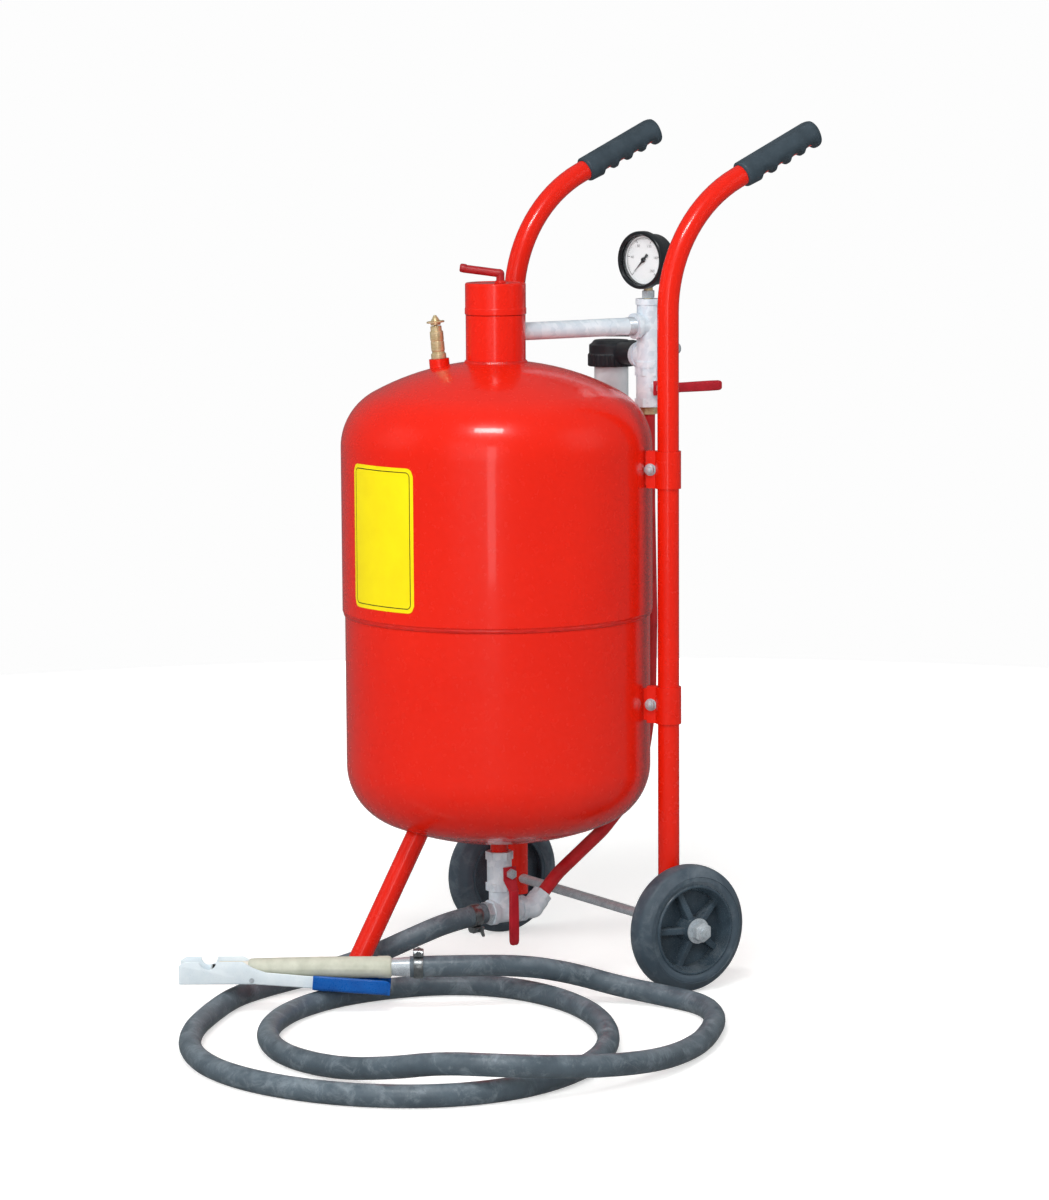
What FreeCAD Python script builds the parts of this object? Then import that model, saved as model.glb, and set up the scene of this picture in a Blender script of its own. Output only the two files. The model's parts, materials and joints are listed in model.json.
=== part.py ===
"""Portable pressure blaster: a two-wheeled tank on a hand truck, with its air fittings, hose and nozzle.

Millimetres, +Z up. The origin is on the floor, under the middle of the object's own outline (the free
hose and its nozzle left out). X runs along the wheel axle and the tipping handles point to +Y.
"""
import FreeCAD, Part
import math
import os

import Sketcher
from FreeCAD import Placement, Rotation, Vector

SHEET = "Dims"

# alias, size (millimetres or degrees), meaning
DIMENSIONS = [
    # pressure vessel
    ("tank_y", -57.3, "tank axis, in front of the middle of the outline"),
    ("tank_radius", 185.0, "outside of the upper shell"),
    ("lower_radius", 182.0, "outside of the lower shell, which slips inside the upper one"),
    ("shell_wall", 2.8, "steel wall of both shells"),
    ("seam_height", 446.0, "lower edge of the upper shell"),
    ("lap_length", 14.0, "how far the lower shell reaches up inside"),
    ("lower_tangent", 260.0, "height where the bottom head begins"),
    ("lower_depth", 95.0, "depth of the bottom head"),
    ("upper_tangent", 640.0, "height where the top head begins"),
    ("upper_depth", 102.0, "depth of the top head"),
    ("knuckle", 74.0, "outside radius of the heads' knuckle"),
    # filler neck and cap
    ("neck_radius", 35.5, "welded coupling"),
    ("neck_bore", 26.0, "radius of the filling hole"),
    ("neck_top", 796.0, "shoulder that the cap stops above"),
    ("thread_radius", 30.0, "threaded spigot that the cap screws on"),
    ("thread_top", 819.0, "top of the spigot"),
    ("thread_pitch", 2.2, "rise of the cap for one turn"),
    ("cap_radius", 36.5, "outside of the cap"),
    ("cap_top", 834.0, "top of the cap"),
    ("cap_gap", 0.5, "running gap round the cap's thread and skirt"),
    ("gasket_thickness", 4.0, "rubber ring between spigot and cap"),
    ("handle_rod", 5.0, "radius of the cap's bent handle"),
    ("handle_heading", 237.0, "way that the handle points, degrees from +X"),
    ("handle_reach", 42.0, "how far the handle stands out from the cap's axis"),
    # safety valve
    ("relief_x", -40.0, "safety valve from the tank axis, across"),
    ("relief_forward", 53.0, "safety valve from the tank axis, to the front"),
    ("relief_height", 730.0, "where its boss leaves the dome"),
    ("relief_lean", 5.0, "lean away from the tank axis, degrees"),
    ("boss_radius", 12.0, "welded boss"),
    ("boss_height", 14.0, "top of the boss over its root"),
    ("relief_radius", 8.0, "brass body"),
    ("relief_length", 39.0, "body over its thread"),
    # standard fittings
    ("pipe_radius", 10.65, "half-inch pipe, outside"),
    ("pipe_bore", 7.9, "half-inch pipe, inside"),
    ("fitting_radius", 14.0, "bodies of the half-inch fittings"),
    ("band_radius", 15.5, "reinforcing bands at the fittings' mouths"),
    # air manifold behind the tank
    ("column_back", 220.0, "manifold column behind the tank axis"),
    ("neck_pipe_height", 774.5, "pipe from the neck to the column"),
    ("branch_height", 738.0, "filter branch of the column"),
    ("column_top", 807.0, "top mouth of the column"),
    ("column_foot", 724.0, "bottom mouth of the column"),
    ("gauge_height", 854.0, "middle of the gauge"),
    ("gauge_radius", 35.0, "bezel of the gauge"),
    ("gauge_depth", 34.0, "case and bezel, front to back"),
    ("gauge_turn", 15.0, "how far the gauge faces to the side, degrees"),
    ("filter_reach", 80.0, "filter from the column"),
    ("inlet_reach", 54.0, "inlet valve behind the filter"),
    ("inlet_lever", 112.0, "inlet valve's lever, from its stem to its end"),
    ("filter_radius", 29.0, "filter head"),
    ("bowl_radius", 21.0, "filter bowl"),
    ("bowl_length", 66.0, "filter bowl under its head"),
    ("air_valve_height", 703.5, "stem of the air valve"),
    ("hose_top", 662.0, "end of the air hose on its barb"),
    # ball valves
    ("valve_half", 24.0, "half length of a valve body"),
    ("valve_radius", 15.0, "barrel of a valve body"),
    ("ball_radius", 11.6, "valve ball"),
    ("ball_bore", 7.5, "hole through the ball"),
    ("stem_radius", 3.5, "valve stem"),
    ("bonnet_reach", 21.0, "end of the stem's bonnet from the pipe axis"),
    ("lever_length", 86.0, "lever from its stem"),
    ("lever_width", 12.0, "vinyl sleeve of a lever"),
    ("lever_offset", 8.0, "step of a lever away from the valve"),
    # outlet under the tank
    ("media_valve_height", 127.0, "stem of the outlet valve"),
    ("tee_height", 77.0, "run of the mixing tee"),
    ("tee_front", 14.0, "front mouth of the tee before the tank axis"),
    ("tee_back", 34.0, "back mouth of the tee behind the tank axis"),
    ("elbow_rise", 45.0, "slope of the air elbow's outlet, degrees"),
    ("air_hose_radius", 8.0, "red air hose"),
    ("blast_hose_radius", 12.5, "blast hose"),
    ("barb_radius", 6.5, "hose barbs"),
    ("barb_bore", 4.5, "bore of the hose barbs"),
    ("barb_length", 36.0, "hose barbs, from shoulder to end"),
    # hand truck
    ("tube_radius", 12.7, "one-inch frame tube"),
    ("tube_wall", 1.6, "wall of the frame tube"),
    ("upright_x", 165.0, "uprights from the middle"),
    ("upright_back", 133.2, "uprights and axle behind the tank axis"),
    ("bend_start", 801.0, "height where the uprights bend back"),
    ("bend_radius", 170.0, "centre-line radius of that bend"),
    ("bend_angle", 65.0, "turn of that bend, degrees"),
    ("grip_radius", 16.0, "hand grip"),
    ("grip_length", 118.0, "hand grip along the tube"),
    ("grip_start", 8.0, "grip beyond the end of the bend"),
    ("upper_clamp", 617.0, "height of the upper pair of clamps"),
    ("lower_clamp", 338.0, "height of the lower pair of clamps"),
    ("clamp_height", 44.0, "strap width along the upright"),
    ("strap_wall", 2.4, "strap steel"),
    ("lug_thickness", 5.0, "lug welded to the tank"),
    ("bolt_radius", 3.0, "clamp bolt"),
    ("leg_top_forward", 112.0, "leg's upper end before the tank axis"),
    ("leg_top_height", 190.0, "leg's upper end"),
    ("leg_foot_forward", 218.0, "leg's foot before the tank axis"),
    ("pad_radius", 20.0, "foot pad"),
    ("pad_height", 8.0, "foot pad"),
    # wheels
    ("wheel_radius", 76.2, "six-inch wheel"),
    ("wheel_x", 201.8, "middle of a wheel from the middle"),
    ("tyre_width", 38.0, "solid tyre"),
    ("rim_radius", 54.0, "seat of the tyre"),
    ("rim_wall", 5.0, "rim"),
    ("hub_radius", 14.0, "boss of the wheel"),
    ("hub_width", 44.0, "length of the boss"),
    ("axle_radius", 6.0, "axle"),
    ("axle_half", 242.0, "half length of the axle"),
    ("running_gap", 0.06, "radial play of a shaft in its hole"),
    # label
    ("label_left", -96.5, "label's edge round the tank, degrees"),
    ("label_right", -64.0, "label's other edge, degrees"),
    ("label_bottom", 460.5, "label's lower edge"),
    ("label_top", 629.0, "label's upper edge"),
    ("label_thickness", 0.3, "label film"),
    # blast nozzle, lying on its hose; its own X is the blast direction, from the middle of the casting
    ("nozzle_x", 46.0, "middle of the nozzle across"),
    ("nozzle_forward", 278.0, "middle of the nozzle before the tank axis"),
    ("nozzle_height", 52.0, "bore of the nozzle over the floor"),
    ("nozzle_heading", 237.0, "direction of the blast, degrees from +X"),
    ("nozzle_radius", 13.0, "cast body"),
    ("nozzle_half", 83.0, "half length of the cast body"),
    ("nozzle_bore", 6.5, "bore of the cast body"),
    ("tip_radius", 8.0, "ceramic tip"),
    ("tip_reach", 35.0, "tip beyond the body"),
    ("shank_length", 22.0, "threaded shank between the body and the hose"),
    ("channel_half", 15.5, "half the outside width of the lever's channel"),
    ("channel_floor", -16.0, "underside of the channel"),
    ("channel_reach", 80.0, "channel beyond the body"),
    ("channel_steel", 2.0, "pressed steel of the nozzle lever"),
    ("squeeze_slope", 4.5, "slope of the lever under the body at rest, degrees"),
    ("pin_x", 78.0, "pivot pin ahead of the middle"),
    ("pin_drop", 11.6, "pivot pin under the bore"),
    ("pin_radius", 3.0, "pivot pin"),
]


class Size:
    """A length or an angle that carries its number and the sheet formula that it comes from."""

    def __init__(self, number, formula):
        self.number = number
        self.formula = formula

    def __add__(self, other):
        return Size(self.number + number_of(other), f"({self.formula} + {formula_of(other)})")

    def __radd__(self, other):
        return Size(number_of(other) + self.number, f"({formula_of(other)} + {self.formula})")

    def __sub__(self, other):
        return Size(self.number - number_of(other), f"({self.formula} - {formula_of(other)})")

    def __rsub__(self, other):
        return Size(number_of(other) - self.number, f"({formula_of(other)} - {self.formula})")

    def __mul__(self, other):
        return Size(self.number * number_of(other), f"({self.formula} * {formula_of(other)})")

    __rmul__ = __mul__

    def __truediv__(self, other):
        return Size(self.number / number_of(other), f"({self.formula} / {formula_of(other)})")

    def __neg__(self):
        return Size(-self.number, f"(-1 * {self.formula})")


def number_of(size):
    """The plain number of a Size or a number."""
    return size.number if isinstance(size, Size) else float(size)


def formula_of(size):
    """The sheet formula of a Size or a number."""
    return size.formula if isinstance(size, Size) else f"{float(size):.6f}"


def root(size):
    """Square root of a Size."""
    return Size(math.sqrt(size.number), f"sqrt({size.formula})")


def sine(angle):
    """Sine of an angle in degrees."""
    return Size(math.sin(math.radians(angle.number)), f"sin({angle.formula})")


def cosine(angle):
    """Cosine of an angle in degrees."""
    return Size(math.cos(math.radians(angle.number)), f"cos({angle.formula})")


def fill_sheet(document):
    """Write the driving dimensions into the sheet and return each as a Size under its alias."""
    sheet = document.addObject("Spreadsheet::Sheet", SHEET)
    sizes = {}
    for row, (alias, value, meaning) in enumerate(DIMENSIONS, start=1):
        sheet.set(f"A{row}", alias.replace("_", " "))
        sheet.set(f"B{row}", str(value))
        sheet.set(f"C{row}", meaning)
        sheet.setAlias(f"B{row}", alias)
        sizes[alias] = Size(value, f"{SHEET}.{alias}")
    document.recompute()
    return sizes


DOCUMENT = FreeCAD.newDocument("blaster")
D = fill_sheet(DOCUMENT)
NODES = []

UP = Rotation()
ALONG_X = Rotation(Vector(0, 1, 0), 90)
BACK_X = Rotation(Vector(0, 1, 0), -90)
ALONG_Y = Rotation(Vector(1, 0, 0), -90)
FORWARD = Rotation(Vector(1, 0, 0), 90)
DOWN = Rotation(Vector(1, 0, 0), 180)
ORIGIN = (0.0, 0.0, 0.0)


# ---------------------------------------------------------------- building blocks

def bind(feature, **sizes):
    """Give a feature's properties their sizes, each tied to the sheet."""
    for name, size in sizes.items():
        feature.setExpression(name, formula_of(size))
    return feature


def place(feature, at=ORIGIN, rotation=UP):
    """Put a feature at a point whose coordinates follow the sheet."""
    feature.Placement = Placement(Vector(*[number_of(value) for value in at]), rotation)
    for letter, value in zip("xyz", at):
        feature.setExpression(f"Placement.Base.{letter}", formula_of(value))
    return feature


def rod(radius, length, at=ORIGIN, rotation=UP):
    """A cylinder that starts at a point."""
    feature = DOCUMENT.addObject("Part::Cylinder", "rod")
    return place(bind(feature, Radius=radius, Height=length), at, rotation)


def taper(radius, end_radius, length, at=ORIGIN, rotation=UP):
    """A truncated cone that starts at a point."""
    feature = DOCUMENT.addObject("Part::Cone", "taper")
    return place(bind(feature, Radius1=radius, Radius2=end_radius, Height=length), at, rotation)


def sphere(radius, at=ORIGIN):
    """A ball."""
    return place(bind(DOCUMENT.addObject("Part::Sphere", "ball"), Radius=radius), at)


def torus(radius, thickness, at=ORIGIN, rotation=UP):
    """A ring of round section."""
    feature = DOCUMENT.addObject("Part::Torus", "ring")
    return place(bind(feature, Radius1=radius, Radius2=thickness), at, rotation)


def hexagon(across_flats, length, at=ORIGIN, rotation=UP):
    """A hexagonal prism that starts at a point."""
    feature = DOCUMENT.addObject("Part::Prism", "hexagon")
    feature.Polygon = 6
    circumradius = across_flats * (1 / math.sqrt(3))
    return place(bind(feature, Circumradius=circumradius, Height=length), at, rotation)


def block(length, width, height, at=ORIGIN):
    """A box centred on a point in X and Y, that starts at the point in Z."""
    feature = DOCUMENT.addObject("Part::Box", "block")
    bind(feature, Length=length, Width=width, Height=height)
    return place(feature, (at[0] - length / 2, at[1] - width / 2, at[2]))


def fuse(*pieces):
    """One solid out of several, or a frame of its own for a single one."""
    if len(pieces) == 1:
        return group(*pieces)
    feature = DOCUMENT.addObject("Part::MultiFuse", "fused")
    feature.Shapes = list(pieces)
    return feature


def common(first, second):
    """What two solids share."""
    feature = DOCUMENT.addObject("Part::Common", "shared")
    feature.Base = first
    feature.Tool = second
    return feature


def cut(base, *tools):
    """A solid with others taken out of it."""
    feature = DOCUMENT.addObject("Part::Cut", "cut")
    feature.Base = base
    feature.Tool = tools[0] if len(tools) == 1 else fuse(*tools)
    return feature


def tube(radius, bore, length, at=ORIGIN, rotation=UP):
    """A straight tube that starts at a point."""
    return place(cut(rod(radius, length), rod(bore, length)), at, rotation)


def group(*pieces):
    """Separate solids that share one node."""
    feature = DOCUMENT.addObject("Part::Compound", "group")
    feature.Links = list(pieces)
    return feature


def node(label, feature, at=None, rotation=UP):
    """Name a finished sub-part, and put it in its place if one is given."""
    feature.Label = label
    if at is not None:
        place(feature, at, rotation)
    NODES.append(feature)
    return feature


def origin_plane(body, role):
    """One of a body's own origin planes."""
    return next(plane for plane in body.Origin.OriginFeatures if plane.Role == role)


def arc_centre(start, end, radius, side):
    """Centre of the arc from start to end, left (+1) or right (-1) of the chord."""
    chord = end - start
    height = math.sqrt(max(radius ** 2 - chord.Length ** 2 / 4, 0.0))
    normal = Vector(-chord.y, chord.x, 0).normalize()
    return (start + end) / 2 + normal * height * side


def outline_sketch(body, role, corners):
    """A closed, fully constrained outline on one of a body's planes.

    Each corner is (x, y), or (x, y, radius, side) where the edge that arrives there is an arc.
    """
    sketch = body.newObject("Sketcher::SketchObject", "outline")
    sketch.AttachmentSupport = [(origin_plane(body, role), "")]
    sketch.MapMode = "FlatFace"
    points = [Vector(number_of(corner[0]), number_of(corner[1]), 0) for corner in corners]
    starts = []
    ends = []
    for index, corner in enumerate(corners):
        start = points[index - 1]
        end = points[index]
        if len(corner) == 2:
            edge = sketch.addGeometry(Part.LineSegment(start, end), False)
            starts.append((edge, 1))
            ends.append((edge, 2))
            continue
        centre = arc_centre(start, end, number_of(corner[2]), corner[3])
        angles = [math.atan2(p.y - centre.y, p.x - centre.x) for p in (start, end)]
        if corner[3] < 0:
            angles.reverse()
        circle = Part.Circle(centre, Vector(0, 0, 1), number_of(corner[2]))
        edge = sketch.addGeometry(Part.ArcOfCircle(circle, *angles), False)
        starts.append((edge, 1 if corner[3] > 0 else 2))
        ends.append((edge, 2 if corner[3] > 0 else 1))
        item = sketch.addConstraint(Sketcher.Constraint("Radius", edge, number_of(corner[2])))
        sketch.setExpression(f"Constraints[{item}]", formula_of(corner[2]))
    for index, corner in enumerate(corners):
        following = starts[(index + 1) % len(corners)]
        sketch.addConstraint(Sketcher.Constraint("Coincident", *ends[index], *following))
        for kind, value, axis in (("DistanceX", corner[0], -2), ("DistanceY", corner[1], -1)):
            if number_of(value) == 0:
                sketch.addConstraint(Sketcher.Constraint("PointOnObject", *ends[index], axis))
                continue
            item = sketch.addConstraint(Sketcher.Constraint(kind, -1, 1, *ends[index], number_of(value)))
            sketch.setExpression(f"Constraints[{item}]", formula_of(value))
    return sketch


def turned(corners, at=ORIGIN, rotation=UP):
    """A body of revolution about its own Z from corners (radius, height)."""
    body = DOCUMENT.addObject("PartDesign::Body", "turned")
    sketch = outline_sketch(body, "XZ_Plane", corners)
    revolution = body.newObject("PartDesign::Revolution", "revolution")
    revolution.Profile = sketch
    revolution.ReferenceAxis = (sketch, ["V_Axis"])
    revolution.Angle = 360
    return place(body, at, rotation)


def plate(corners, thickness, at=ORIGIN, rotation=UP):
    """A plate whose outline is corners (x, z), spread evenly to both sides of its own XZ plane."""
    body = DOCUMENT.addObject("PartDesign::Body", "plate")
    pad = body.newObject("PartDesign::Pad", "pad")
    pad.Profile = outline_sketch(body, "XZ_Plane", corners)
    pad.SideType = "Symmetric"
    bind(pad, Length=thickness)
    return place(body, at, rotation)


def bent_path(points, radii):
    """A wire of straight runs through points, joined by tangent arcs of the given radii."""
    edges = []
    start = points[0]
    for before, corner, after, radius in zip(points, points[1:], points[2:], radii):
        arriving = (corner - before).normalize()
        leaving = (after - corner).normalize()
        half_turn = arriving.getAngle(leaving) / 2
        setback = radius * math.tan(half_turn)
        arc_start = corner - arriving * setback
        arc_end = corner + leaving * setback
        inward = (leaving - arriving).normalize()
        middle = corner + inward * (radius / math.cos(half_turn) - radius)
        edges.append(Part.LineSegment(start, arc_start).toShape())
        edges.append(Part.Arc(arc_start, middle, arc_end).toShape())
        start = arc_end
    edges.append(Part.LineSegment(start, points[-1]).toShape())
    return Part.Wire(edges)


def swept(wire, points, radius):
    """The solid of a round section along a path, checked against its length."""
    section = Part.Wire(Part.Circle(points[0], points[1] - points[0], radius).toShape())
    solid = wire.makePipeShell([section], True, False)
    expected = math.pi * radius ** 2 * wire.Length
    if abs(solid.Volume - expected) > 0.01 * expected:
        raise ValueError(f"swept volume {solid.Volume:.0f} differs from {expected:.0f}")
    return solid


def bent(points, radius, radii, bore=None):
    """A bent rod, or a bent tube with a bore, and its length; radii holds one bend for each corner."""
    wire = bent_path(points, radii)
    feature = DOCUMENT.addObject("Part::Feature", "bent")
    solid = swept(wire, points, radius)
    feature.Shape = solid if bore is None else solid.cut(swept(wire, points, bore))
    return feature, wire.Length


def loose_bends(points):
    """The widest bend that a free hose's two runs leave room for, at each corner."""
    share_of_run = 0.45
    radii = []
    for before, corner, after in zip(points, points[1:], points[2:]):
        half_turn = (corner - before).getAngle(after - corner) / 2
        run = min((corner - before).Length, (after - corner).Length)
        radii.append(share_of_run * run / math.tan(half_turn))
    return radii


def point(*values):
    """A plain point from Sizes or numbers."""
    return Vector(*[number_of(value) for value in values])


def behind(back, x=0.0, height=0.0):
    """A place given from the tank axis."""
    return (x, D["tank_y"] + back, height)


# ---------------------------------------------------------------- pressure vessel

def dished(radius, depth, tangent, side, hole):
    """Outer and inner corners of a dished head, from its cylinder to the hole at its crown.

    side is +1 for a top head and -1 for a bottom one. Knuckle and crown are arcs that meet smoothly.
    """
    knuckle = D["knuckle"]
    crown = (radius * radius - 2 * radius * knuckle + depth * depth) / (2 * (depth - knuckle))
    lean = (radius - knuckle) / (crown - knuckle)
    rise = (crown - depth) / (crown - knuckle)
    centre = tangent + side * (depth - crown)
    corners = []
    for offset in (0.0, D["shell_wall"]):
        reach = crown - offset
        start = (radius - offset, tangent)
        meeting = (reach * lean, centre + side * (reach * rise), knuckle - offset, side)
        top = (hole, centre + side * root(reach * reach - hole * hole), reach, side)
        corners.append((start, meeting, top))
    outer, inner = corners
    knuckle_radius = inner[1][2]
    back_down = [
        (inner[2][0], inner[2][1]),
        (inner[1][0], inner[1][1], inner[2][2], -side),
        (inner[0][0], inner[0][1], knuckle_radius, -side),
    ]
    return list(outer) + back_down


def relief_frame():
    """Root and rotation of the leaning safety valve."""
    outward = Vector(D["relief_x"].number, -D["relief_forward"].number, 0).normalize()
    axis = Vector(0, 0, 1).cross(outward)
    root_point = behind(-D["relief_forward"], D["relief_x"], D["relief_height"])
    return root_point, Rotation(axis, D["relief_lean"].number)


def clamp_bearing():
    """Angle from +X, seen from the tank axis, of the right-hand upright."""
    return math.degrees(math.atan2(D["upright_back"].number, D["upright_x"].number))


def lug(side, height):
    """A plate that stands out of the tank wall towards an upright."""
    reach = root(D["upright_x"] * D["upright_x"] + D["upright_back"] * D["upright_back"])
    inner = D["lower_radius"] - D["shell_wall"] / 2
    outer = reach - D["tube_radius"] - 0.5
    length = outer - inner
    tall = D["clamp_height"] - 6
    solid = block(length, D["lug_thickness"], tall, (inner + length / 2, 0.0, -tall / 2))
    angle = clamp_bearing() if side > 0 else 180 - clamp_bearing()
    turned_plate = cut(solid, rod(D["bolt_radius"] + 0.2, 30.0, (lug_bolt_reach(), 15.0, 0.0), FORWARD))
    return place(turned_plate, behind(0.0, 0.0, height), Rotation(Vector(0, 0, 1), angle))


def lug_bolt_reach():
    """Distance of a clamp bolt from the tank axis."""
    return D["tank_radius"] + 6.6


def build_shells():
    """Two pressed shells that overlap at the seam, with the pieces that are welded to them."""
    drain_hole = D["pipe_bore"]
    lower = dished(D["lower_radius"], D["lower_depth"], D["lower_tangent"], -1, drain_hole)
    lap_top = D["seam_height"] + D["lap_length"]
    inner = D["lower_radius"] - D["shell_wall"]
    lower_body = turned([(D["lower_radius"], lap_top)] + lower + [(inner, lap_top)], behind(0.0))
    outlet = tube(D["pipe_radius"], D["pipe_bore"], 20.0,
                  behind(0.0, 0.0, D["media_valve_height"] + D["valve_half"]))
    weld = turned([(D["lower_radius"] - 1, D["seam_height"]), (D["lower_radius"] - 1, D["seam_height"] - 5),
                   (D["lower_radius"], D["seam_height"] - 5), (D["tank_radius"] - 0.6, D["seam_height"])],
                  behind(0.0))
    node("lower_tank_shell", fuse(lower_body, outlet, weld,
                                  lug(1, D["lower_clamp"]), lug(-1, D["lower_clamp"])))

    upper = dished(D["tank_radius"], D["upper_depth"], D["upper_tangent"], 1, D["neck_radius"])
    inner = D["tank_radius"] - D["shell_wall"]
    upper_body = turned([(D["tank_radius"], D["seam_height"])] + upper + [(inner, D["seam_height"])],
                        behind(0.0))
    place_at, lean = relief_frame()
    boss = rod(D["boss_radius"], D["boss_height"] + 6, (0.0, 0.0, -6.0))
    boss = place(fuse(boss), place_at, lean)
    bore = place(fuse(rod(D["relief_radius"] - 2, D["boss_height"] + 40, (0.0, 0.0, -30.0))), place_at, lean)
    whole = fuse(upper_body, boss, lug(1, D["upper_clamp"]), lug(-1, D["upper_clamp"]))
    node("upper_tank_shell", cut(whole, bore))


def build_neck_and_cap():
    """Filler neck with its threaded spigot, screw cap, gasket and bent handle."""
    neck_root = D["upper_tangent"] + D["upper_depth"] - 12
    neck = turned([(D["neck_bore"], neck_root), (D["neck_radius"], neck_root),
                   (D["neck_radius"], D["neck_top"]),
                   (D["thread_radius"], D["neck_top"]), (D["thread_radius"], D["thread_top"]),
                   (D["neck_bore"], D["thread_top"])], behind(0.0))
    side_hole = rod(D["pipe_radius"], 30.0, behind(D["neck_bore"] - 8, 0.0, D["neck_pipe_height"]), ALONG_Y)
    node("filler_neck", cut(neck, side_hole))

    seat = D["thread_top"] + 0.3
    gasket_top = seat + D["gasket_thickness"]
    node("cap_gasket", tube(D["thread_radius"] - 0.5, D["neck_bore"], D["gasket_thickness"],
                            behind(0.0, 0.0, seat)))
    skirt = D["neck_top"] + D["cap_gap"]
    bore = D["thread_radius"] + D["cap_gap"]
    edge = 2.0
    cap = turned([(bore, skirt), (D["cap_radius"], skirt), (D["cap_radius"], D["cap_top"] - edge),
                  (D["cap_radius"] - edge, D["cap_top"]), (0.0, D["cap_top"]),
                  (0.0, gasket_top + 0.3), (bore, gasket_top + 0.3)], behind(0.0))
    node("filler_cap", cap)

    heading = math.radians(D["handle_heading"].number)
    reach = D["handle_reach"].number
    top = D["cap_top"].number
    base = behind(0.0)
    outward = Vector(math.cos(heading), math.sin(heading), 0)
    foot = point(base[0], base[1], top) - outward * 6
    path = [foot, foot + Vector(0, 0, 11), foot + outward * (reach + 6) + Vector(0, 0, 15)]
    handle, _ = bent(path, D["handle_rod"].number, [8.0])
    node("cap_handle", handle)


def build_safety_valve():
    """Brass pop valve on its boss: body, spring, and a stem that is pulled by its ring."""
    root_point, lean = relief_frame()
    seat = D["boss_height"]
    radius = D["relief_radius"]
    top = seat + D["relief_length"]
    bore = 2.2
    chamber = radius - 2.2
    body = turned([(4.0, seat - 12), (radius - 2, seat - 12), (radius - 2, seat), (radius + 1, seat),
                   (radius + 1, seat + 6), (radius, seat + 7), (radius, top), (bore, top), (bore, top - 3),
                   (chamber, top - 3), (chamber, seat + 8), (4.0, seat + 8)])
    node("safety_valve_body", fuse(body), root_point, lean)
    spring = tube(chamber - 0.6, 3.0, D["relief_length"] - 3 - 8 - 4 - 3, (0.0, 0.0, seat + 8 + 4))
    node("safety_valve_spring", fuse(spring), root_point, lean)
    disc = rod(chamber - 0.8, 3.5, (0.0, 0.0, seat + 8.2))
    stem = rod(bore - 0.05, D["relief_length"] - 8 + 6, (0.0, 0.0, seat + 8.2))
    knob = taper(6.0, 1.5, 13.0, (0.0, 0.0, top + 0.8))
    ring = 9.5
    wire = 1.3
    pull = torus(ring, wire, (0.0, 0.0, top + 4.5))
    bar = rod(wire, ring * 2, (-ring, 0.0, top + 4.5), ALONG_X)
    node("safety_valve_stem", fuse(disc, stem, knob, pull, bar), root_point, lean)


# ---------------------------------------------------------------- air manifold

def build_manifold():
    """Pipe from the neck, and the column of fittings that carries gauge, filter and air valve."""
    back = D["column_back"]
    start = D["neck_bore"] - 2
    node("neck_pipe", tube(D["pipe_radius"], D["pipe_bore"], back - start - 2,
                           behind(start, 0.0, D["neck_pipe_height"]), ALONG_Y))
    radius = D["fitting_radius"]
    branch = D["fitting_radius"] - 0.8
    band = D["band_radius"]
    length = D["column_top"] - D["column_foot"]
    column = fuse(
        rod(radius, length, behind(back, 0.0, D["column_foot"])),
        rod(band, 7.0, behind(back, 0.0, D["column_foot"])),
        rod(band, 7.0, behind(back, 0.0, D["column_top"] - 7)),
        rod(branch, 22.0, behind(back, 0.0, D["neck_pipe_height"]), FORWARD),
        rod(band, 6.0, behind(back - 22, 0.0, D["neck_pipe_height"]), ALONG_Y),
        rod(branch, 22.0, behind(back, 0.0, D["branch_height"]), BACK_X),
        rod(band, 6.0, behind(back, -22.0, D["branch_height"]), ALONG_X),
    )
    bore = D["pipe_bore"]
    node("manifold_cross", cut(
        column,
        rod(bore, length - 12, behind(back, 0.0, D["column_foot"])),
        rod(4.0, length, behind(back, 0.0, D["column_foot"] + 1)),
        rod(D["pipe_radius"], 24.0, behind(back - 2, 0.0, D["neck_pipe_height"]), FORWARD),
        rod(bore, 24.0, behind(back, 0.0, D["branch_height"]), BACK_X)))


def gauge_frame():
    """Middle of the gauge's dial side and the turn that makes its own Z look out of the dial."""
    turn = Rotation(Vector(0, 0, 1), D["gauge_turn"].number)
    return behind(D["column_back"], 0.0, D["gauge_height"]), turn.multiply(FORWARD)


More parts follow.
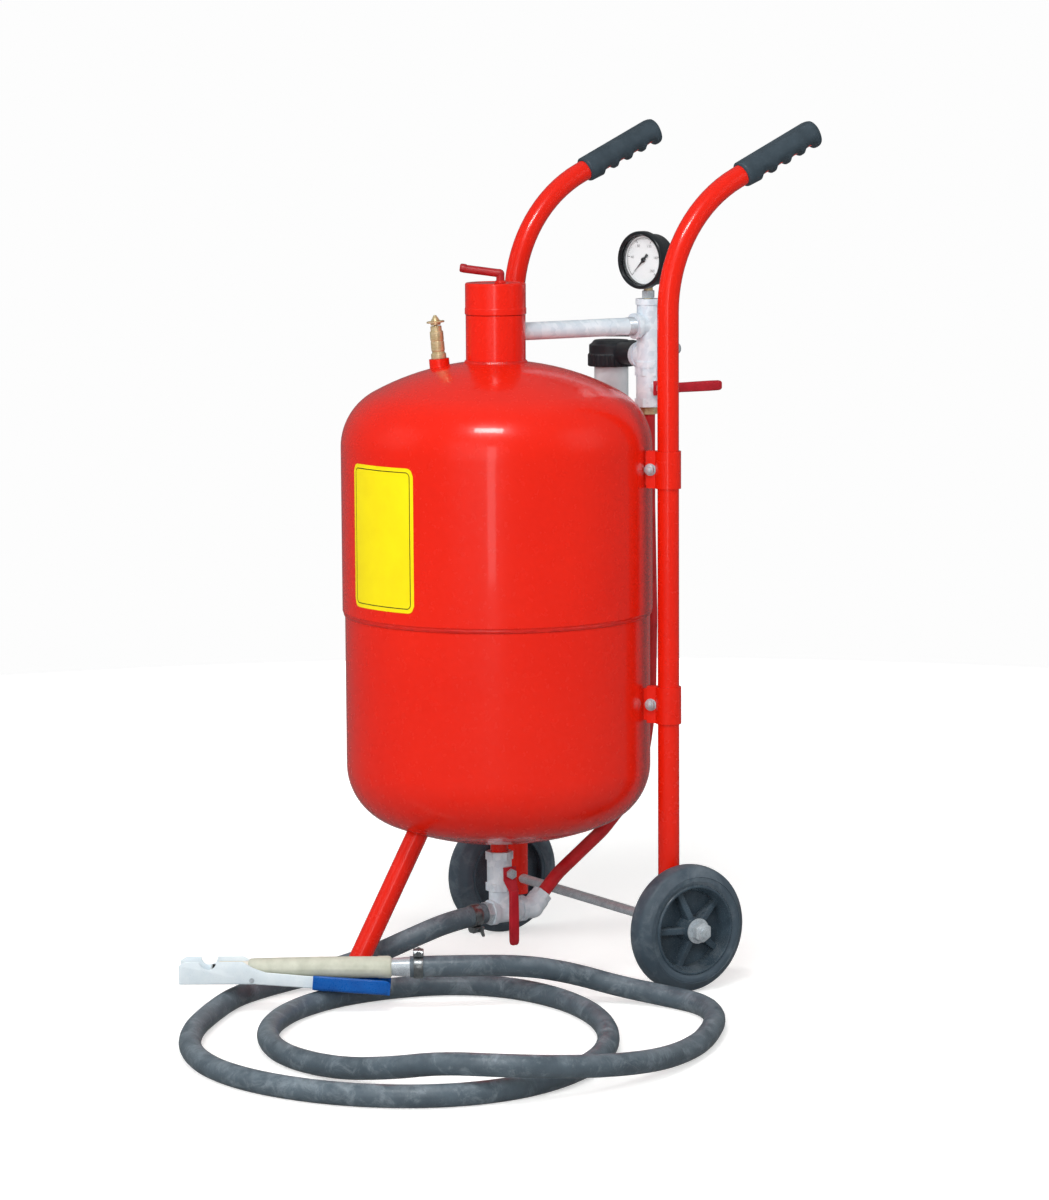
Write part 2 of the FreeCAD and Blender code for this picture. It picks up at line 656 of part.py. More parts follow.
def build_gauge():
    """Pressure gauge: case with its stem, dial, needle, lens and bezel."""
    middle, turn = gauge_frame()
    half = D["gauge_depth"] / 2
    radius = D["gauge_radius"]
    shell = turned([(0.0, -half), (radius - 7, -half), (radius - 3.5, 3 - half), (radius - 3.5, half - 8),
                    (radius - 1.5, half - 8), (radius - 1.5, half - 5), (radius - 5.5, half - 5),
                    (radius - 5.5, 6 - half), (0.0, 6 - half)])
    drop = D["gauge_height"] - D["column_top"]
    stem = fuse(rod(5.5, drop - radius + 10, (0.0, radius * -1 + 6, 0.0), FORWARD),
                hexagon(14.0, 8.0, (0.0, -drop + 9, 0.0), FORWARD))
    hollow = rod(radius - 6, D["gauge_depth"], (0.0, 0.0, 6 - half))
    bore = rod(2.5, drop, (0.0, -radius, 0.0), FORWARD)
    node("gauge_case", fuse(shell, cut(stem, hollow, bore)), middle, turn)
    dial = cut(rod(radius - 6, 1.0, (0.0, 0.0, half - 10)), rod(1.3, 3.0, (0.0, 0.0, half - 11)))
    node("gauge_dial", fuse(dial),
         middle, turn)
    lens_radius = radius - 4
    node("gauge_lens", fuse(rod(lens_radius, 2.0, (0.0, 0.0, half - 4.8))), middle, turn)
    bezel = turned([(radius - 1.4, half - 10), (radius, half - 10), (radius, half - 2), (radius - 1.5, half),
                    (radius - 4, half), (radius - 4.5, half - 2.7), (radius - 1.4, half - 2.7)])
    node("gauge_bezel", fuse(bezel), middle, turn)
    pivot = rod(1.2, 5.0, (0.0, 0.0, half - 11.5))
    hub = rod(3.0, 1.2, (0.0, 0.0, half - 8))
    blade = block(25.0, 1.2, 0.8, (9.5, 0.0, half - 7.8))
    tail = block(9.0, 3.0, 0.8, (-6.5, 0.0, half - 7.8))
    needle = place(fuse(pivot, hub, blade, tail), ORIGIN, Rotation(Vector(0, 0, 1), 225))
    node("gauge_needle", fuse(needle), middle, turn)


def build_filter():
    """Water filter between the inlet valve and the column: head, bowl and element."""
    x = -D["filter_reach"]
    back = D["column_back"]
    level = D["branch_height"]
    top = level + 15
    foot = level - 17
    recess = 14.0
    port = 34.0
    bore = D["pipe_bore"] - 2
    to_column = D["filter_reach"] - 22
    head = fuse(rod(D["filter_radius"], top - foot, behind(back, x, foot)),
                rod(D["fitting_radius"], to_column, behind(back, x, level), ALONG_X),
                rod(D["fitting_radius"], port, behind(back, x, level), ALONG_Y))
    head = cut(head,
               rod(D["bowl_radius"] + 0.1, recess, behind(back, x, foot)),
               rod(bore, to_column, behind(back, x, level), ALONG_X),
               rod(bore, port, behind(back, x, level), ALONG_Y))
    node("filter_head", head)
    radius = D["bowl_radius"]
    length = D["bowl_length"]
    rim = recess - 2
    wall = 2.2
    bowl = turned([(radius, rim), (radius, 12 - length), (radius - 9, -length), (4.0, -length),
                   (4.0, -length - 8), (0.0, -length - 8), (0.0, wall - length), (radius - 9, wall - length),
                   (radius - wall, 12 - length), (radius - wall, rim)], behind(back, x, foot))
    node("filter_bowl", bowl)
    node("filter_element", tube(9.0, 5.0, 32.0, behind(back, x, foot - 20)))


def valve_body(closed_gap=0.4):
    """Ball valve body: pipe axis along its Z, stem along its X."""
    half = D["valve_half"]
    outside = fuse(rod(D["valve_radius"], half * 2, (0.0, 0.0, -half)),
                   hexagon(29.0, 10.0, (0.0, 0.0, -half)),
                   hexagon(29.0, 10.0, (0.0, 0.0, half - 10)),
                   rod(7.5, D["bonnet_reach"], ORIGIN, ALONG_X))
    return cut(outside,
               rod(D["pipe_bore"], half * 2, (0.0, 0.0, -half)),
               sphere(D["ball_radius"] + closed_gap),
               rod(D["stem_radius"] + D["running_gap"], D["bonnet_reach"], ORIGIN, ALONG_X))


def valve_ball(open_way):
    """Ball and stem in one, the ball's hole along Z (open) or Y (shut)."""
    passage = rod(D["ball_bore"], 40.0, (0.0, 0.0, -20.0))
    if not open_way:
        passage = rod(D["ball_bore"], 40.0, (0.0, -20.0, 0.0), ALONG_Y)
    ball = cut(sphere(D["ball_radius"]), passage)
    stem = rod(D["stem_radius"], D["bonnet_reach"] + 9 - 9.5, (9.5, 0.0, 0.0), ALONG_X)
    return fuse(ball, stem)


def valve_lever():
    """Stepped lever, its hub at the stem, its handle along +Z and its step along +X."""
    near = D["bonnet_reach"] + 0.5
    steel = 3.0
    far = near + D["lever_offset"]
    handle = 5.0
    strip = plate([(near, -9.0), (near + steel, -9.0), (near + steel, 9.0), (far + handle - 1, 20.0),
                   (far + handle, D["lever_length"]), (far, D["lever_length"]), (far, 21.0), (near, 10.0)],
                  D["lever_width"])
    hub = rod(9.0, steel, (near, 0.0, 0.0), ALONG_X)
    return cut(fuse(strip, hub), rod(D["stem_radius"] + 0.02, 30.0, (near - 5, 0.0, 0.0), ALONG_X))


def valve_nut():
    """Nut that holds a lever on its stem."""
    at = (D["bonnet_reach"] + 3.5, 0.0, 0.0)
    stem_hole = rod(D["stem_radius"] + 0.02, 12.0, (D["bonnet_reach"], 0.0, 0.0), ALONG_X)
    return cut(hexagon(11.0, 5.0, at, ALONG_X), stem_hole)


def build_valves():
    """Shut air valve behind the tank and open outlet valve under it, with their levers."""
    air = behind(D["column_back"], 0.0, D["air_valve_height"] - 3.5)
    sideways = Rotation(Vector(1, 0, 0), -90)
    node("air_valve_body", valve_body(), air)
    node("air_valve_ball", valve_ball(False), air)
    node("air_valve_lever", valve_lever(), air, sideways)
    node("air_valve_nut", valve_nut(), air)
    media = behind(0.0, 0.0, D["media_valve_height"])
    node("media_valve_body", valve_body(), media)
    node("media_valve_ball", valve_ball(True), media)
    node("media_valve_lever", valve_lever(), media, DOWN)
    node("media_valve_nut", valve_nut(), media)


def build_inlet():
    """Inlet valve behind the filter with its long black lever, and the plug for the compressor's hose.

    They are made along X, with the plug at -X, and turned so that the plug looks to the back.
    """
    centre = behind(D["column_back"] + D["inlet_reach"], -D["filter_reach"], D["branch_height"])
    turn = Rotation(Vector(0, 0, 1), -90)
    half = 16.0
    into_head = D["inlet_reach"] - 30
    outside = fuse(rod(13.0, half * 2, (-half, 0.0, 0.0), ALONG_X),
                   hexagon(24.0, 9.0, (-half, 0.0, 0.0), ALONG_X),
                   hexagon(24.0, 9.0, (half - 9, 0.0, 0.0), ALONG_X),
                   rod(D["pipe_radius"] - 2, into_head - half + 2, (half - 2, 0.0, 0.0), ALONG_X),
                   rod(6.0, 16.0, ORIGIN, UP))
    body = cut(outside, rod(5.5, 80.0, (-half - 10, 0.0, 0.0), ALONG_X),
               sphere(9.4),
               rod(3.0 + D["running_gap"], 22.0, ORIGIN, UP))
    node("inlet_valve_body", body, centre, turn)
    ball = cut(sphere(9.0), rod(5.5, 30.0, (-15.0, 0.0, 0.0), ALONG_X))
    lever = block(D["inlet_lever"] + 8, 15.0, 5.0, (D["inlet_lever"] / 2 - 4, 0.0, 16.6))
    swung = place(fuse(lever), ORIGIN, Rotation(Vector(0, 0, 1), -45))
    handle = fuse(ball, rod(3.0, 14.0, (0.0, 0.0, 7.0)),
                  rod(9.0, 5.0, (0.0, 0.0, 16.6)),
                  swung)
    node("inlet_valve_handle", handle, centre, turn)
    plug = turned([(3.0, 0.0), (6.0, 0.0), (7.0, 2.0), (7.0, 6.0), (5.2, 8.0), (5.2, 13.0), (6.6, 15.0),
                   (6.6, 23.0), (11.0, 23.0), (11.0, 31.0), (3.0, 31.0)], (-half - 31, 0.0, 0.0), ALONG_X)
    node("air_inlet_plug", fuse(plug), centre, turn)


# ---------------------------------------------------------------- hoses and lower fittings

def barb(radius, bore, length, rings):
    """Hose barb along its own Z, from its shoulder to its end."""
    corners = [(bore, 0.0), (radius, 0.0)]
    pitch = length / rings
    for number in range(rings):
        corners.append((radius, pitch * (number + 0.1) + 1.0))
        corners.append((radius - 1.2, pitch * (number + 1)))
        if number < rings - 1:
            corners.append((radius, pitch * (number + 1) + 0.5))
    corners.append((bore, length))
    return turned(corners)


def elbow_direction():
    """Unit vector of the air elbow's outlet."""
    rise = math.radians(D["elbow_rise"].number)
    return Vector(0, math.cos(rise), math.sin(rise))


def elbow_centre():
    """Middle of the air elbow, on the tee's axis."""
    return point(*behind(D["tee_back"] + 13, 0.0, D["tee_height"]))


def build_lower_fittings():
    """Mixing tee under the outlet valve, the hose barb in front and the air elbow behind."""
    radius = D["fitting_radius"]
    band = D["band_radius"]
    height = D["tee_height"]
    run = D["tee_front"] + D["tee_back"]
    rise = D["media_valve_height"] - D["valve_half"] - height
    front = behind(-D["tee_front"], 0.0, height)
    tee = fuse(rod(radius, run, front, ALONG_Y), rod(band, 7.0, front, ALONG_Y),
               rod(band, 7.0, behind(D["tee_back"] - 7, 0.0, height), ALONG_Y),
               rod(radius - 1, rise, behind(0.0, 0.0, height)))
    node("mixing_tee", cut(tee, rod(D["pipe_bore"], run, front, ALONG_Y),
                           rod(D["pipe_bore"], rise, behind(0.0, 0.0, height))))

    hexagon_length = 8.0
    long_barb = barb(D["barb_radius"] + 1, D["barb_bore"] + 1, D["barb_length"], 4)
    nipple = fuse(hexagon(24.0, hexagon_length), place(long_barb, (0.0, 0.0, hexagon_length)))
    nipple = cut(nipple, rod(D["barb_bore"] + 1, 60.0, (0.0, 0.0, -1.0)))
    node("tee_hose_barb", nipple, front, FORWARD)

    direction = elbow_direction()
    tilt = Rotation(Vector(0, 0, 1), direction)
    centre = elbow_centre()
    middle = tuple(centre)
    elbow_barb = barb(D["barb_radius"] - 0.5, D["barb_bore"] - 1, 24.0, 3)
    elbow = fuse(rod(radius - 0.5, 13.0, behind(D["tee_back"], 0.0, height), ALONG_Y),
                 sphere(radius, middle),
                 rod(radius - 0.5, 14.0, middle, tilt),
                 hexagon(22.0, 8.0, tuple(centre + direction * 14), tilt),
                 place(elbow_barb, tuple(centre + direction * 22), tilt))
    hollow = fuse(rod(D["barb_bore"] - 1, 14.0, behind(D["tee_back"], 0.0, height), ALONG_Y),
                  sphere(D["barb_bore"], middle),
                  rod(D["barb_bore"] - 1, 60.0, middle, tilt))
    node("air_hose_elbow", cut(elbow, hollow))

    valve_foot = D["air_valve_height"] - 3.5 - D["valve_half"]
    small_barb = barb(D["barb_radius"] - 0.5, D["barb_bore"] - 1, 24.0, 3)
    fitting = fuse(hexagon(19.0, 9.0), place(small_barb, (0.0, 0.0, 9.0)))
    fitting = cut(fitting, rod(D["barb_bore"] - 1, 60.0, (0.0, 0.0, -1.0)))
    node("air_hose_barb", fitting, behind(D["column_back"], 0.0, valve_foot), DOWN)


def build_air_hose():
    """Red hose from the air valve, down behind the tank and forward under it to the elbow."""
    back = D["column_back"].number
    axis = D["tank_y"].number
    direction = elbow_direction()
    end = elbow_centre() + direction * 22.3
    top = Vector(0, axis + back, D["air_valve_height"].number - 3.5 - D["valve_half"].number - 9.3)
    points = [top, Vector(0, axis + back, 560), Vector(0, axis + back + 3, 420), Vector(0, axis + back, 280),
              Vector(0, axis + back - 22, 206), Vector(0, axis + 150, 160), end + direction * 30, end]
    slack, tight = 400.0, 90.0
    hose, length = bent(points, D["air_hose_radius"].number, [slack] * 3 + [tight] * 3,
                        D["barb_radius"].number - 0.5)
    node("air_hose", hose)
    print(f"air hose {length:.0f} mm")


def hose_clamp(radius):
    """Worm-drive clamp round its own Z, its screw housing to +X."""
    band = tube(radius + 1.2, radius + 0.05, 11.0, (0.0, 0.0, -5.5))
    housing = block(7.0, 14.0, 11.0, (radius + 3.4, 0.0, -5.5))
    screw = rod(3.2, 22.0, (radius + 4.5, -11.0, 0.0), ALONG_Y)
    slot_head = block(1.6, 4.0, 9.0, (radius + 4.5, 12.0, -4.5))
    return fuse(band, cut(housing, rod(radius + 0.05, 20.0, (0.0, 0.0, -10.0))), screw, slot_head)


# ---------------------------------------------------------------- free blast hose and nozzle

# Centre line of the blast hose: across, behind the tank axis, up. It leaves the tee's barb, passes the leg,
# makes a wide turn on the floor and a smaller one that crosses it twice, and ends on the nozzle.
BLAST_HOSE_ROUTE = [
    (0, -22, 77), (0, -66, 74), (-12, -112, 58), (-38, -156, 35), (-60, -212, 18), (-60, -278, 12.6),
    (-30, -348, 12.6), (28, -412, 12.6), (92, -472, 12.6), (170, -518, 12.6), (258, -538, 12.6),
    (350, -524, 12.6), (440, -474, 12.6), (500, -398, 12.6), (518, -315, 12.6), (500, -235, 12.6),
    (455, -160, 12.6), (378, -95, 12.6), (285, -52, 12.6), (190, -40, 12.6), (105, -62, 12.6),
    (54, -115, 12.6), (36, -188, 12.6), (40, -262, 12.6), (77, -343, 12.6), (150, -412, 12.6),
    (245, -445, 12.6), (338, -430, 14), (415, -406, 27), (483, -386, 44), (532, -341, 45), (554, -278, 39),
    (549, -202, 29), (518, -118, 18), (470, -42, 12.6), (425, 8, 12.6), (372, 54, 12.6), (312, 78, 12.6),
    (252, 66, 12.6), (205, 34, 19), (176, -14, 36), (160, -70, 49), (135.9, -139.7, 53), (103.2, -190, 52),
]


def build_blast_hose():
    """Black blast hose that lies free on the floor, with a clamp at each end."""
    axis = D["tank_y"].number
    points = [Vector(x, axis + back, height) for x, back, height in BLAST_HOSE_ROUTE]
    radii = loose_bends(points)
    hose, length = bent(points, D["blast_hose_radius"].number, radii)
    node("blast_hose", hose)
    print(f"blast hose {length:.0f} mm, bends of {min(radii):.0f} mm and more")
    leaving = points[1] - points[0]
    at = points[0] + leaving.normalize() * 14
    worm_under = Rotation(Vector(0, 0, -1), Vector(0, 0, 0), leaving, "ZXY")
    node("tee_hose_clamp", hose_clamp(D["blast_hose_radius"]), tuple(at), worm_under)


def in_nozzle(x):
    """A point on the nozzle's bore, given along it."""
    heading = math.radians(D["nozzle_heading"].number)
    return Vector(D["nozzle_x"].number + x * math.cos(heading),
                  D["tank_y"].number - D["nozzle_forward"].number + x * math.sin(heading),
                  D["nozzle_height"].number)


def nozzle_node(label, feature):
    """Name a nozzle piece that was built about the nozzle's own axes, and lay it on the hose."""
    at = behind(-D["nozzle_forward"], D["nozzle_x"], D["nozzle_height"])
    node(label, feature, at, Rotation(Vector(0, 0, 1), D["nozzle_heading"].number))


def sloped(feature):
    """Turn a piece of the lever about the pivot pin to the lever's resting slope."""
    pin = Vector(D["pin_x"].number, 0, -D["pin_drop"].number)
    turn = Rotation(Vector(0, 1, 0), -D["squeeze_slope"].number)
    offset = pin - turn.multVec(pin)
    return place(fuse(feature), tuple(offset), turn)


def build_nozzle():
    """Hand valve at the hose's end: cast body, ceramic tip, sprung lever with its grip, pad and pin."""
    half = D["nozzle_half"]
    radius = D["nozzle_radius"]
    bore = D["nozzle_bore"]
    pin_x = D["pin_x"]
    pin_z = -D["pin_drop"]
    casting = fuse(rod(radius, half * 2, (-half, 0.0, 0.0), ALONG_X),
                   rod(radius - 1.5, 3.0, (half - 1, 0.0, 0.0), ALONG_X))
    body = cut(casting,
               rod(bore, half * 2 - 40, (-half, 0.0, 0.0), ALONG_X),
               rod(D["tip_radius"], 50.0, (half - 42, 0.0, 0.0), ALONG_X),
               rod(D["pin_radius"], 40.0, (pin_x, -20.0, pin_z), ALONG_Y))
    nozzle_node("nozzle_body", body)
    tip_length = D["tip_reach"] + 40
    tip = turned([(3.5, 0.0), (D["tip_radius"], 0.0), (D["tip_radius"], tip_length - 3),
                  (D["tip_radius"] - 2, tip_length), (3.5, tip_length)], (half - 40, 0.0, 0.0), ALONG_X)
    nozzle_node("nozzle_tip", fuse(tip))
    shank = D["shank_length"]
    long_barb = barb(D["barb_radius"] + 1, D["barb_bore"], D["barb_length"] - 4, 4)
    barb_end = place(long_barb, (-half - shank, 0.0, 0.0), BACK_X)
    fitting = fuse(rod(bore, 20.0, (-half, 0.0, 0.0), ALONG_X),
                   taper(10.0, 12.0, shank, (-half, 0.0, 0.0), BACK_X), barb_end)
    nozzle_node("nozzle_barb", cut(fitting, rod(D["barb_bore"], 100.0, (-half - 80, 0.0, 0.0), ALONG_X)))
    clamp_at = in_nozzle(-(half + shank).number - 9)
    worm_up = Rotation(Vector(0, 0, 1), Vector(0, 0, 0), in_nozzle(-1) - in_nozzle(0), "ZXY")
    node("nozzle_hose_clamp", hose_clamp(D["blast_hose_radius"]), tuple(clamp_at), worm_up)

    outer = D["channel_half"]
    steel = D["channel_steel"]
    floor = D["channel_floor"]
    front_length = half + D["channel_reach"] - pin_x + 12
    front_middle = pin_x - 12 + front_length / 2
    low = block(front_length, outer * 2, 14.0, (front_middle, 0.0, floor))
    nose_length = D["channel_reach"] - 3
    nose = block(nose_length, outer * 2, 26.0, (half + 3 + nose_length / 2, 0.0, floor))
    rear = sloped(block(150.0, outer * 2, 14.0, (pin_x - 75 + 5, 0.0, floor)))
    inside = (outer - steel) * 2
    hollow = block(front_length + 20, inside, 40.0, (front_middle - 10 - steel, 0.0, floor + steel))
    rear_hollow = sloped(block(170.0, inside, 40.0, (pin_x - 75 + 5, 0.0, floor + steel)))
    notch = rod(10.0, 60.0, (half + D["channel_reach"] - 34, -30.0, 11.0), ALONG_Y)
    pin_hole = rod(D["pin_radius"] + D["running_gap"], 60.0, (pin_x, -30.0, pin_z), ALONG_Y)
    pad_wall = block(steel, inside, 18.0, (half + D["tip_reach"] + 7, 0.0, floor + 1))
    lever = fuse(cut(fuse(low, nose, rear), hollow, rear_hollow, notch, pin_hole), pad_wall)
    nozzle_node("nozzle_lever", lever)
    nozzle_node("nozzle_seal_pad", fuse(rod(7.5, 5.4, (half + D["tip_reach"] + 0.6, 0.0, -3.0), ALONG_X)))
    grip_length = 90.0
    grip_middle = pin_x - 75 - 40
    sleeve = cut(block(grip_length, outer * 2 + 5, 17.0, (grip_middle, 0.0, floor - 2.5)),
                 block(grip_length + 2, outer * 2, 30.0, (grip_middle, 0.0, floor)))
    nozzle_node("nozzle_lever_grip", fuse(sloped(sleeve)))
    pin = rod(D["pin_radius"], outer * 2 + 2, (pin_x, -outer - 1, pin_z), ALONG_Y)
    nozzle_node("nozzle_pivot_pin", fuse(pin))
    spring_length = 4.8
    spring = tube(4.5, 3.0, spring_length, (22.0, 0.0, -radius - spring_length - 0.1))
    nozzle_node("nozzle_spring", fuse(spring))


# ---------------------------------------------------------------- hand truck

def upright_path():
    """Corner points of an upright's centre line, in its own YZ plane, from the axle to its end."""
    turn = math.radians(D["bend_angle"].number)
    radius = D["bend_radius"].number
    start = D["bend_start"].number
    corner = start + radius * math.tan(turn / 2)
    straight = Vector(0, math.sin(turn), math.cos(turn))
    end = Vector(0, 0, corner) + straight * (radius * math.tan(turn / 2) + D["grip_length"].number - 4)
    return [Vector(0, 0, D["wheel_radius"].number - 20), Vector(0, 0, corner), end], straight


def build_hand_truck():
    """Two bent uprights with their grips, the front leg, clamps, axle and fasteners."""
    radius = D["tube_radius"].number
    for side, name in ((-1, "left"), (1, "right")):
        x = side * D["upright_x"]
        path, straight = upright_path()
        bent_tube, _ = bent(path, radius, [D["bend_radius"].number],
                               radius - D["tube_wall"].number)
        bent_tube.Placement = Placement(point(*behind(D["upright_back"], x)), Rotation())
        axle_at = behind(D["upright_back"], x - 30, D["wheel_radius"])
        axle_hole = rod(D["axle_radius"] + 0.02, 60.0, axle_at, ALONG_X)
        node(f"{name}_upright", cut(bent_tube, axle_hole))
        build_grip(f"{name}_grip", x, straight)
    build_clamps()
    build_leg()
    build_axle()


def build_grip(label, x, straight):
    """Moulded hand grip: four finger notches underneath and a hooked end."""
    turn = math.radians(D["bend_angle"].number)
    corner = D["bend_start"].number + D["bend_radius"].number * math.tan(turn / 2)
    bend_end = D["bend_radius"].number * math.tan(turn / 2)
    start = Vector(0, 0, corner) + straight * (bend_end + D["grip_start"].number)
    length = D["grip_length"]
    sleeve = cut(rod(D["grip_radius"], length), rod(D["tube_radius"] + 0.02, length - 8))
    hook = taper(D["grip_radius"], D["grip_radius"] + 3, 8.0, (2.0, 0.0, length - 9))
    notches = [torus(D["grip_radius"] + 7, 7.5, (0.0, 0.0, 26 + 22 * number)) for number in range(4)]
    under = block(20.0, 50.0, length, (D["grip_radius"] + 2.5, 0.0, 0.0))
    shaped = cut(fuse(sleeve, hook), common(fuse(*notches), under))
    downward = Rotation(Vector(0, 0, -1), Vector(0, 0, 0), straight, "ZXY")
    at = point(*behind(D["upright_back"], x)) + start
    node(label, shaped, (number_of(x), at.y, at.z), downward)


def build_clamps():
    """Four straps that hold the uprights to the tank's lugs, with their bolts and nuts."""
    reach = root(D["upright_x"] * D["upright_x"] + D["upright_back"] * D["upright_back"])
    inner = D["tube_radius"] + 0.05
    wall = D["strap_wall"]
    tall = D["clamp_height"]
    ear_end = D["tank_radius"] + 1.5
    ear_length = reach - inner - ear_end + 2
    half_lug = D["lug_thickness"] / 2 + 0.05
    straps = []
    fasteners = []
    for height in (D["upper_clamp"], D["lower_clamp"]):
        for side in (1, -1):
            angle = clamp_bearing() if side > 0 else 180 - clamp_bearing()
            turn = Rotation(Vector(0, 0, 1), angle)
            loop = cut(rod(inner + wall, tall, (reach, 0.0, -tall / 2)),
                       rod(inner, tall + 2, (reach, 0.0, -tall / 2 - 1)),
                       block(20.0, half_lug * 2, tall + 2, (reach - 14, 0.0, -tall / 2 - 1)))
            ear_middle = ear_end + ear_length / 2
            ears = [block(ear_length, wall, tall, (ear_middle, hand * (half_lug + wall / 2), -tall / 2))
                    for hand in (1, -1)]
            strap = cut(fuse(loop, *ears), rod(inner, tall + 2, (reach, 0.0, -tall / 2 - 1)),
                        rod(D["bolt_radius"] + 0.02, 40.0, (lug_bolt_reach(), 20.0, 0.0), FORWARD))
            straps.append(place(strap, behind(0.0, 0.0, height), turn))
            outside = half_lug + wall
            head_side = -1 if side > 0 else 1
            start = -10.0 if side > 0 else -14.0
            shank = rod(D["bolt_radius"], 24.0, (lug_bolt_reach(), start, 0.0), ALONG_Y)
            head_way, nut_way = (FORWARD, ALONG_Y) if side > 0 else (ALONG_Y, FORWARD)
            bolt = fuse(shank, hexagon(10.0, 4.0, (lug_bolt_reach(), head_side * outside, 0.0), head_way))
            nut_at = (lug_bolt_reach(), -head_side * outside, 0.0)
            nut = cut(hexagon(10.0, 5.0, nut_at, nut_way),
                      rod(D["bolt_radius"] + 0.01, 60.0, (lug_bolt_reach(), -30.0, 0.0), ALONG_Y))
            fasteners.append(place(bolt, behind(0.0, 0.0, height), turn))
            fasteners.append(place(fuse(nut), behind(0.0, 0.0, height), turn))
    node("upright_straps", group(*straps))
    node("strap_fasteners", group(*fasteners))


def build_leg():
    """Slanted front leg under the tank, with its foot pad."""
    top = point(*behind(-D["leg_top_forward"], 0.0, D["leg_top_height"]))
    foot = point(*behind(-D["leg_foot_forward"], 0.0, D["pad_height"] - 1))
    slope = foot - top
    leg = rod(D["tube_radius"], slope.Length, tuple(top), Rotation(Vector(0, 0, 1), slope))
    pad = rod(D["pad_radius"], D["pad_height"], (foot.x, foot.y, 0.0))
    head_block = dished_solid()
    node("front_leg", cut(fuse(leg, pad), head_block))


def dished_solid():
    """What fills the lower shell, used to shape the leg's end to the tank's bottom."""
    corners = dished(D["lower_radius"], D["lower_depth"], D["lower_tangent"], -1, D["pipe_bore"])[:3]
    top = D["lower_tangent"] + 20
    return turned([(D["lower_radius"], top)] + corners + [(0.0, corners[2][1]), (0.0, top)], behind(0.0))


def build_axle():
    """Axle through both uprights, with its washers and nuts."""
    back = D["upright_back"]
    height = D["wheel_radius"]
    half = D["axle_half"]
    node("axle", rod(D["axle_radius"], half * 2, behind(back, -half, height), ALONG_X))
    pieces = []
    for side in (-1, 1):
        inside = D["wheel_x"] - D["hub_width"] / 2 - 0.5
        outside = D["wheel_x"] + D["hub_width"] / 2 + 0.5
        rotation = ALONG_X if side > 0 else BACK_X
        hole = D["axle_radius"] + 0.02
        washer_inner = tube(D["hub_radius"], hole, 1.5, behind(back, side * (inside - 1.5), height), rotation)
        washer_outer = tube(D["hub_radius"] + 1, hole, 2.0, behind(back, side * outside, height), rotation)
        nut = cut(hexagon(22.0, 11.0), rod(hole, 11.0))
        nut = place(nut, behind(back, side * (outside + 2), height), rotation)
        pieces += [washer_inner, washer_outer, nut]
    node("axle_fasteners", group(*pieces))


def build_wheels():
    """Two moulded wheels with solid tyres."""
    spokes = 5
    for side, name in ((-1, "left"), (1, "right")):
        middle = behind(D["upright_back"], side * D["wheel_x"], D["wheel_radius"])
        rotation = ALONG_X if side > 0 else BACK_X
        rim = D["rim_radius"]
        width = D["tyre_width"]
        ring = tube(rim, rim - D["rim_wall"], width - 4, (0.0, 0.0, 2 - width / 2))
        web = rod(rim - 1, 5.0, (0.0, 0.0, -6.0))
        boss = rod(D["hub_radius"], D["hub_width"], (0.0, 0.0, -D["hub_width"] / 2))
        ribs = []
        for number in range(spokes):
            rib = block(rim - 2, 9.0, 22.0, ((rim - 2) / 2, 0.0, -11.0))
            ribs.append(place(fuse(rib), ORIGIN, Rotation(Vector(0, 0, 1), 90 + number * 360 / spokes)))
        wheel = cut(fuse(ring, web, boss, *ribs),
                    rod(D["axle_radius"] + D["running_gap"], D["hub_width"], (0.0, 0.0, -D["hub_width"] / 2)))
        node(f"{name}_wheel", wheel, middle, rotation)
        shoulder = 9.0
        tread = D["wheel_radius"]
        tyre = turned([(rim, -width / 2 + 2), (rim + 6, -width / 2), (tread - shoulder, -width / 2),
                       (tread, shoulder - width / 2, shoulder, 1), (tread, width / 2 - shoulder),
                       (tread - shoulder, width / 2, shoulder, 1), (rim + 6, width / 2),
                       (rim, width / 2 - 2)])
        node(f"{name}_tyre", fuse(tyre), middle, rotation)


def build_label():
    """Thin label that follows the tank wall."""
    sector = bind(DOCUMENT.addObject("Part::Cylinder", "sector"),
                  Radius=D["tank_radius"] + D["label_thickness"],
                  Height=D["label_top"] - D["label_bottom"], Angle=D["label_right"] - D["label_left"])
    film = cut(sector, rod(D["tank_radius"], 400.0))
    turn = Rotation(Vector(0, 0, 1), D["label_left"].number)
    node("tank_label", film, behind(0.0, 0.0, D["label_bottom"]), turn)


build_shells()
build_neck_and_cap()
build_safety_valve()
build_manifold()
build_gauge()
build_filter()
build_valves()
build_inlet()
build_lower_fittings()
build_air_hose()
build_blast_hose()
build_nozzle()
build_hand_truck()
build_wheels()
build_label()


def check_document():
    """Stop if anything in the document failed or a sub-part has no sound solid."""
    DOCUMENT.recompute()
    for item in DOCUMENT.Objects:
        if "Invalid" in item.State or "Error" in item.State:
            raise ValueError(f"{item.Name} ({item.Label}) did not build: {item.State}")
    for item in NODES:
        if item.Shape.isNull() or not item.Shape.isValid() or not item.Shape.Solids:
            raise ValueError(f"{item.Label} is not a sound solid")


check_document()
os.makedirs("parts", exist_ok=True)
for item in NODES:
    item.Shape.exportStep(f"parts/{item.Label}.step")
print(f"{len(NODES)} sub-parts")
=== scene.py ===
# Looks of a portable pressure blaster: red tank on a two-wheel hand truck, with its manifold, hoses
# and nozzle.
# Sizes are in millimetres and become metres where a mesh is made. Places come from the frame.

import json
import logging
import math
from dataclasses import dataclass, field
from enum import Enum
from typing import Callable, Optional, Sequence

import bmesh
import bpy
from mathutils import Matrix, Vector

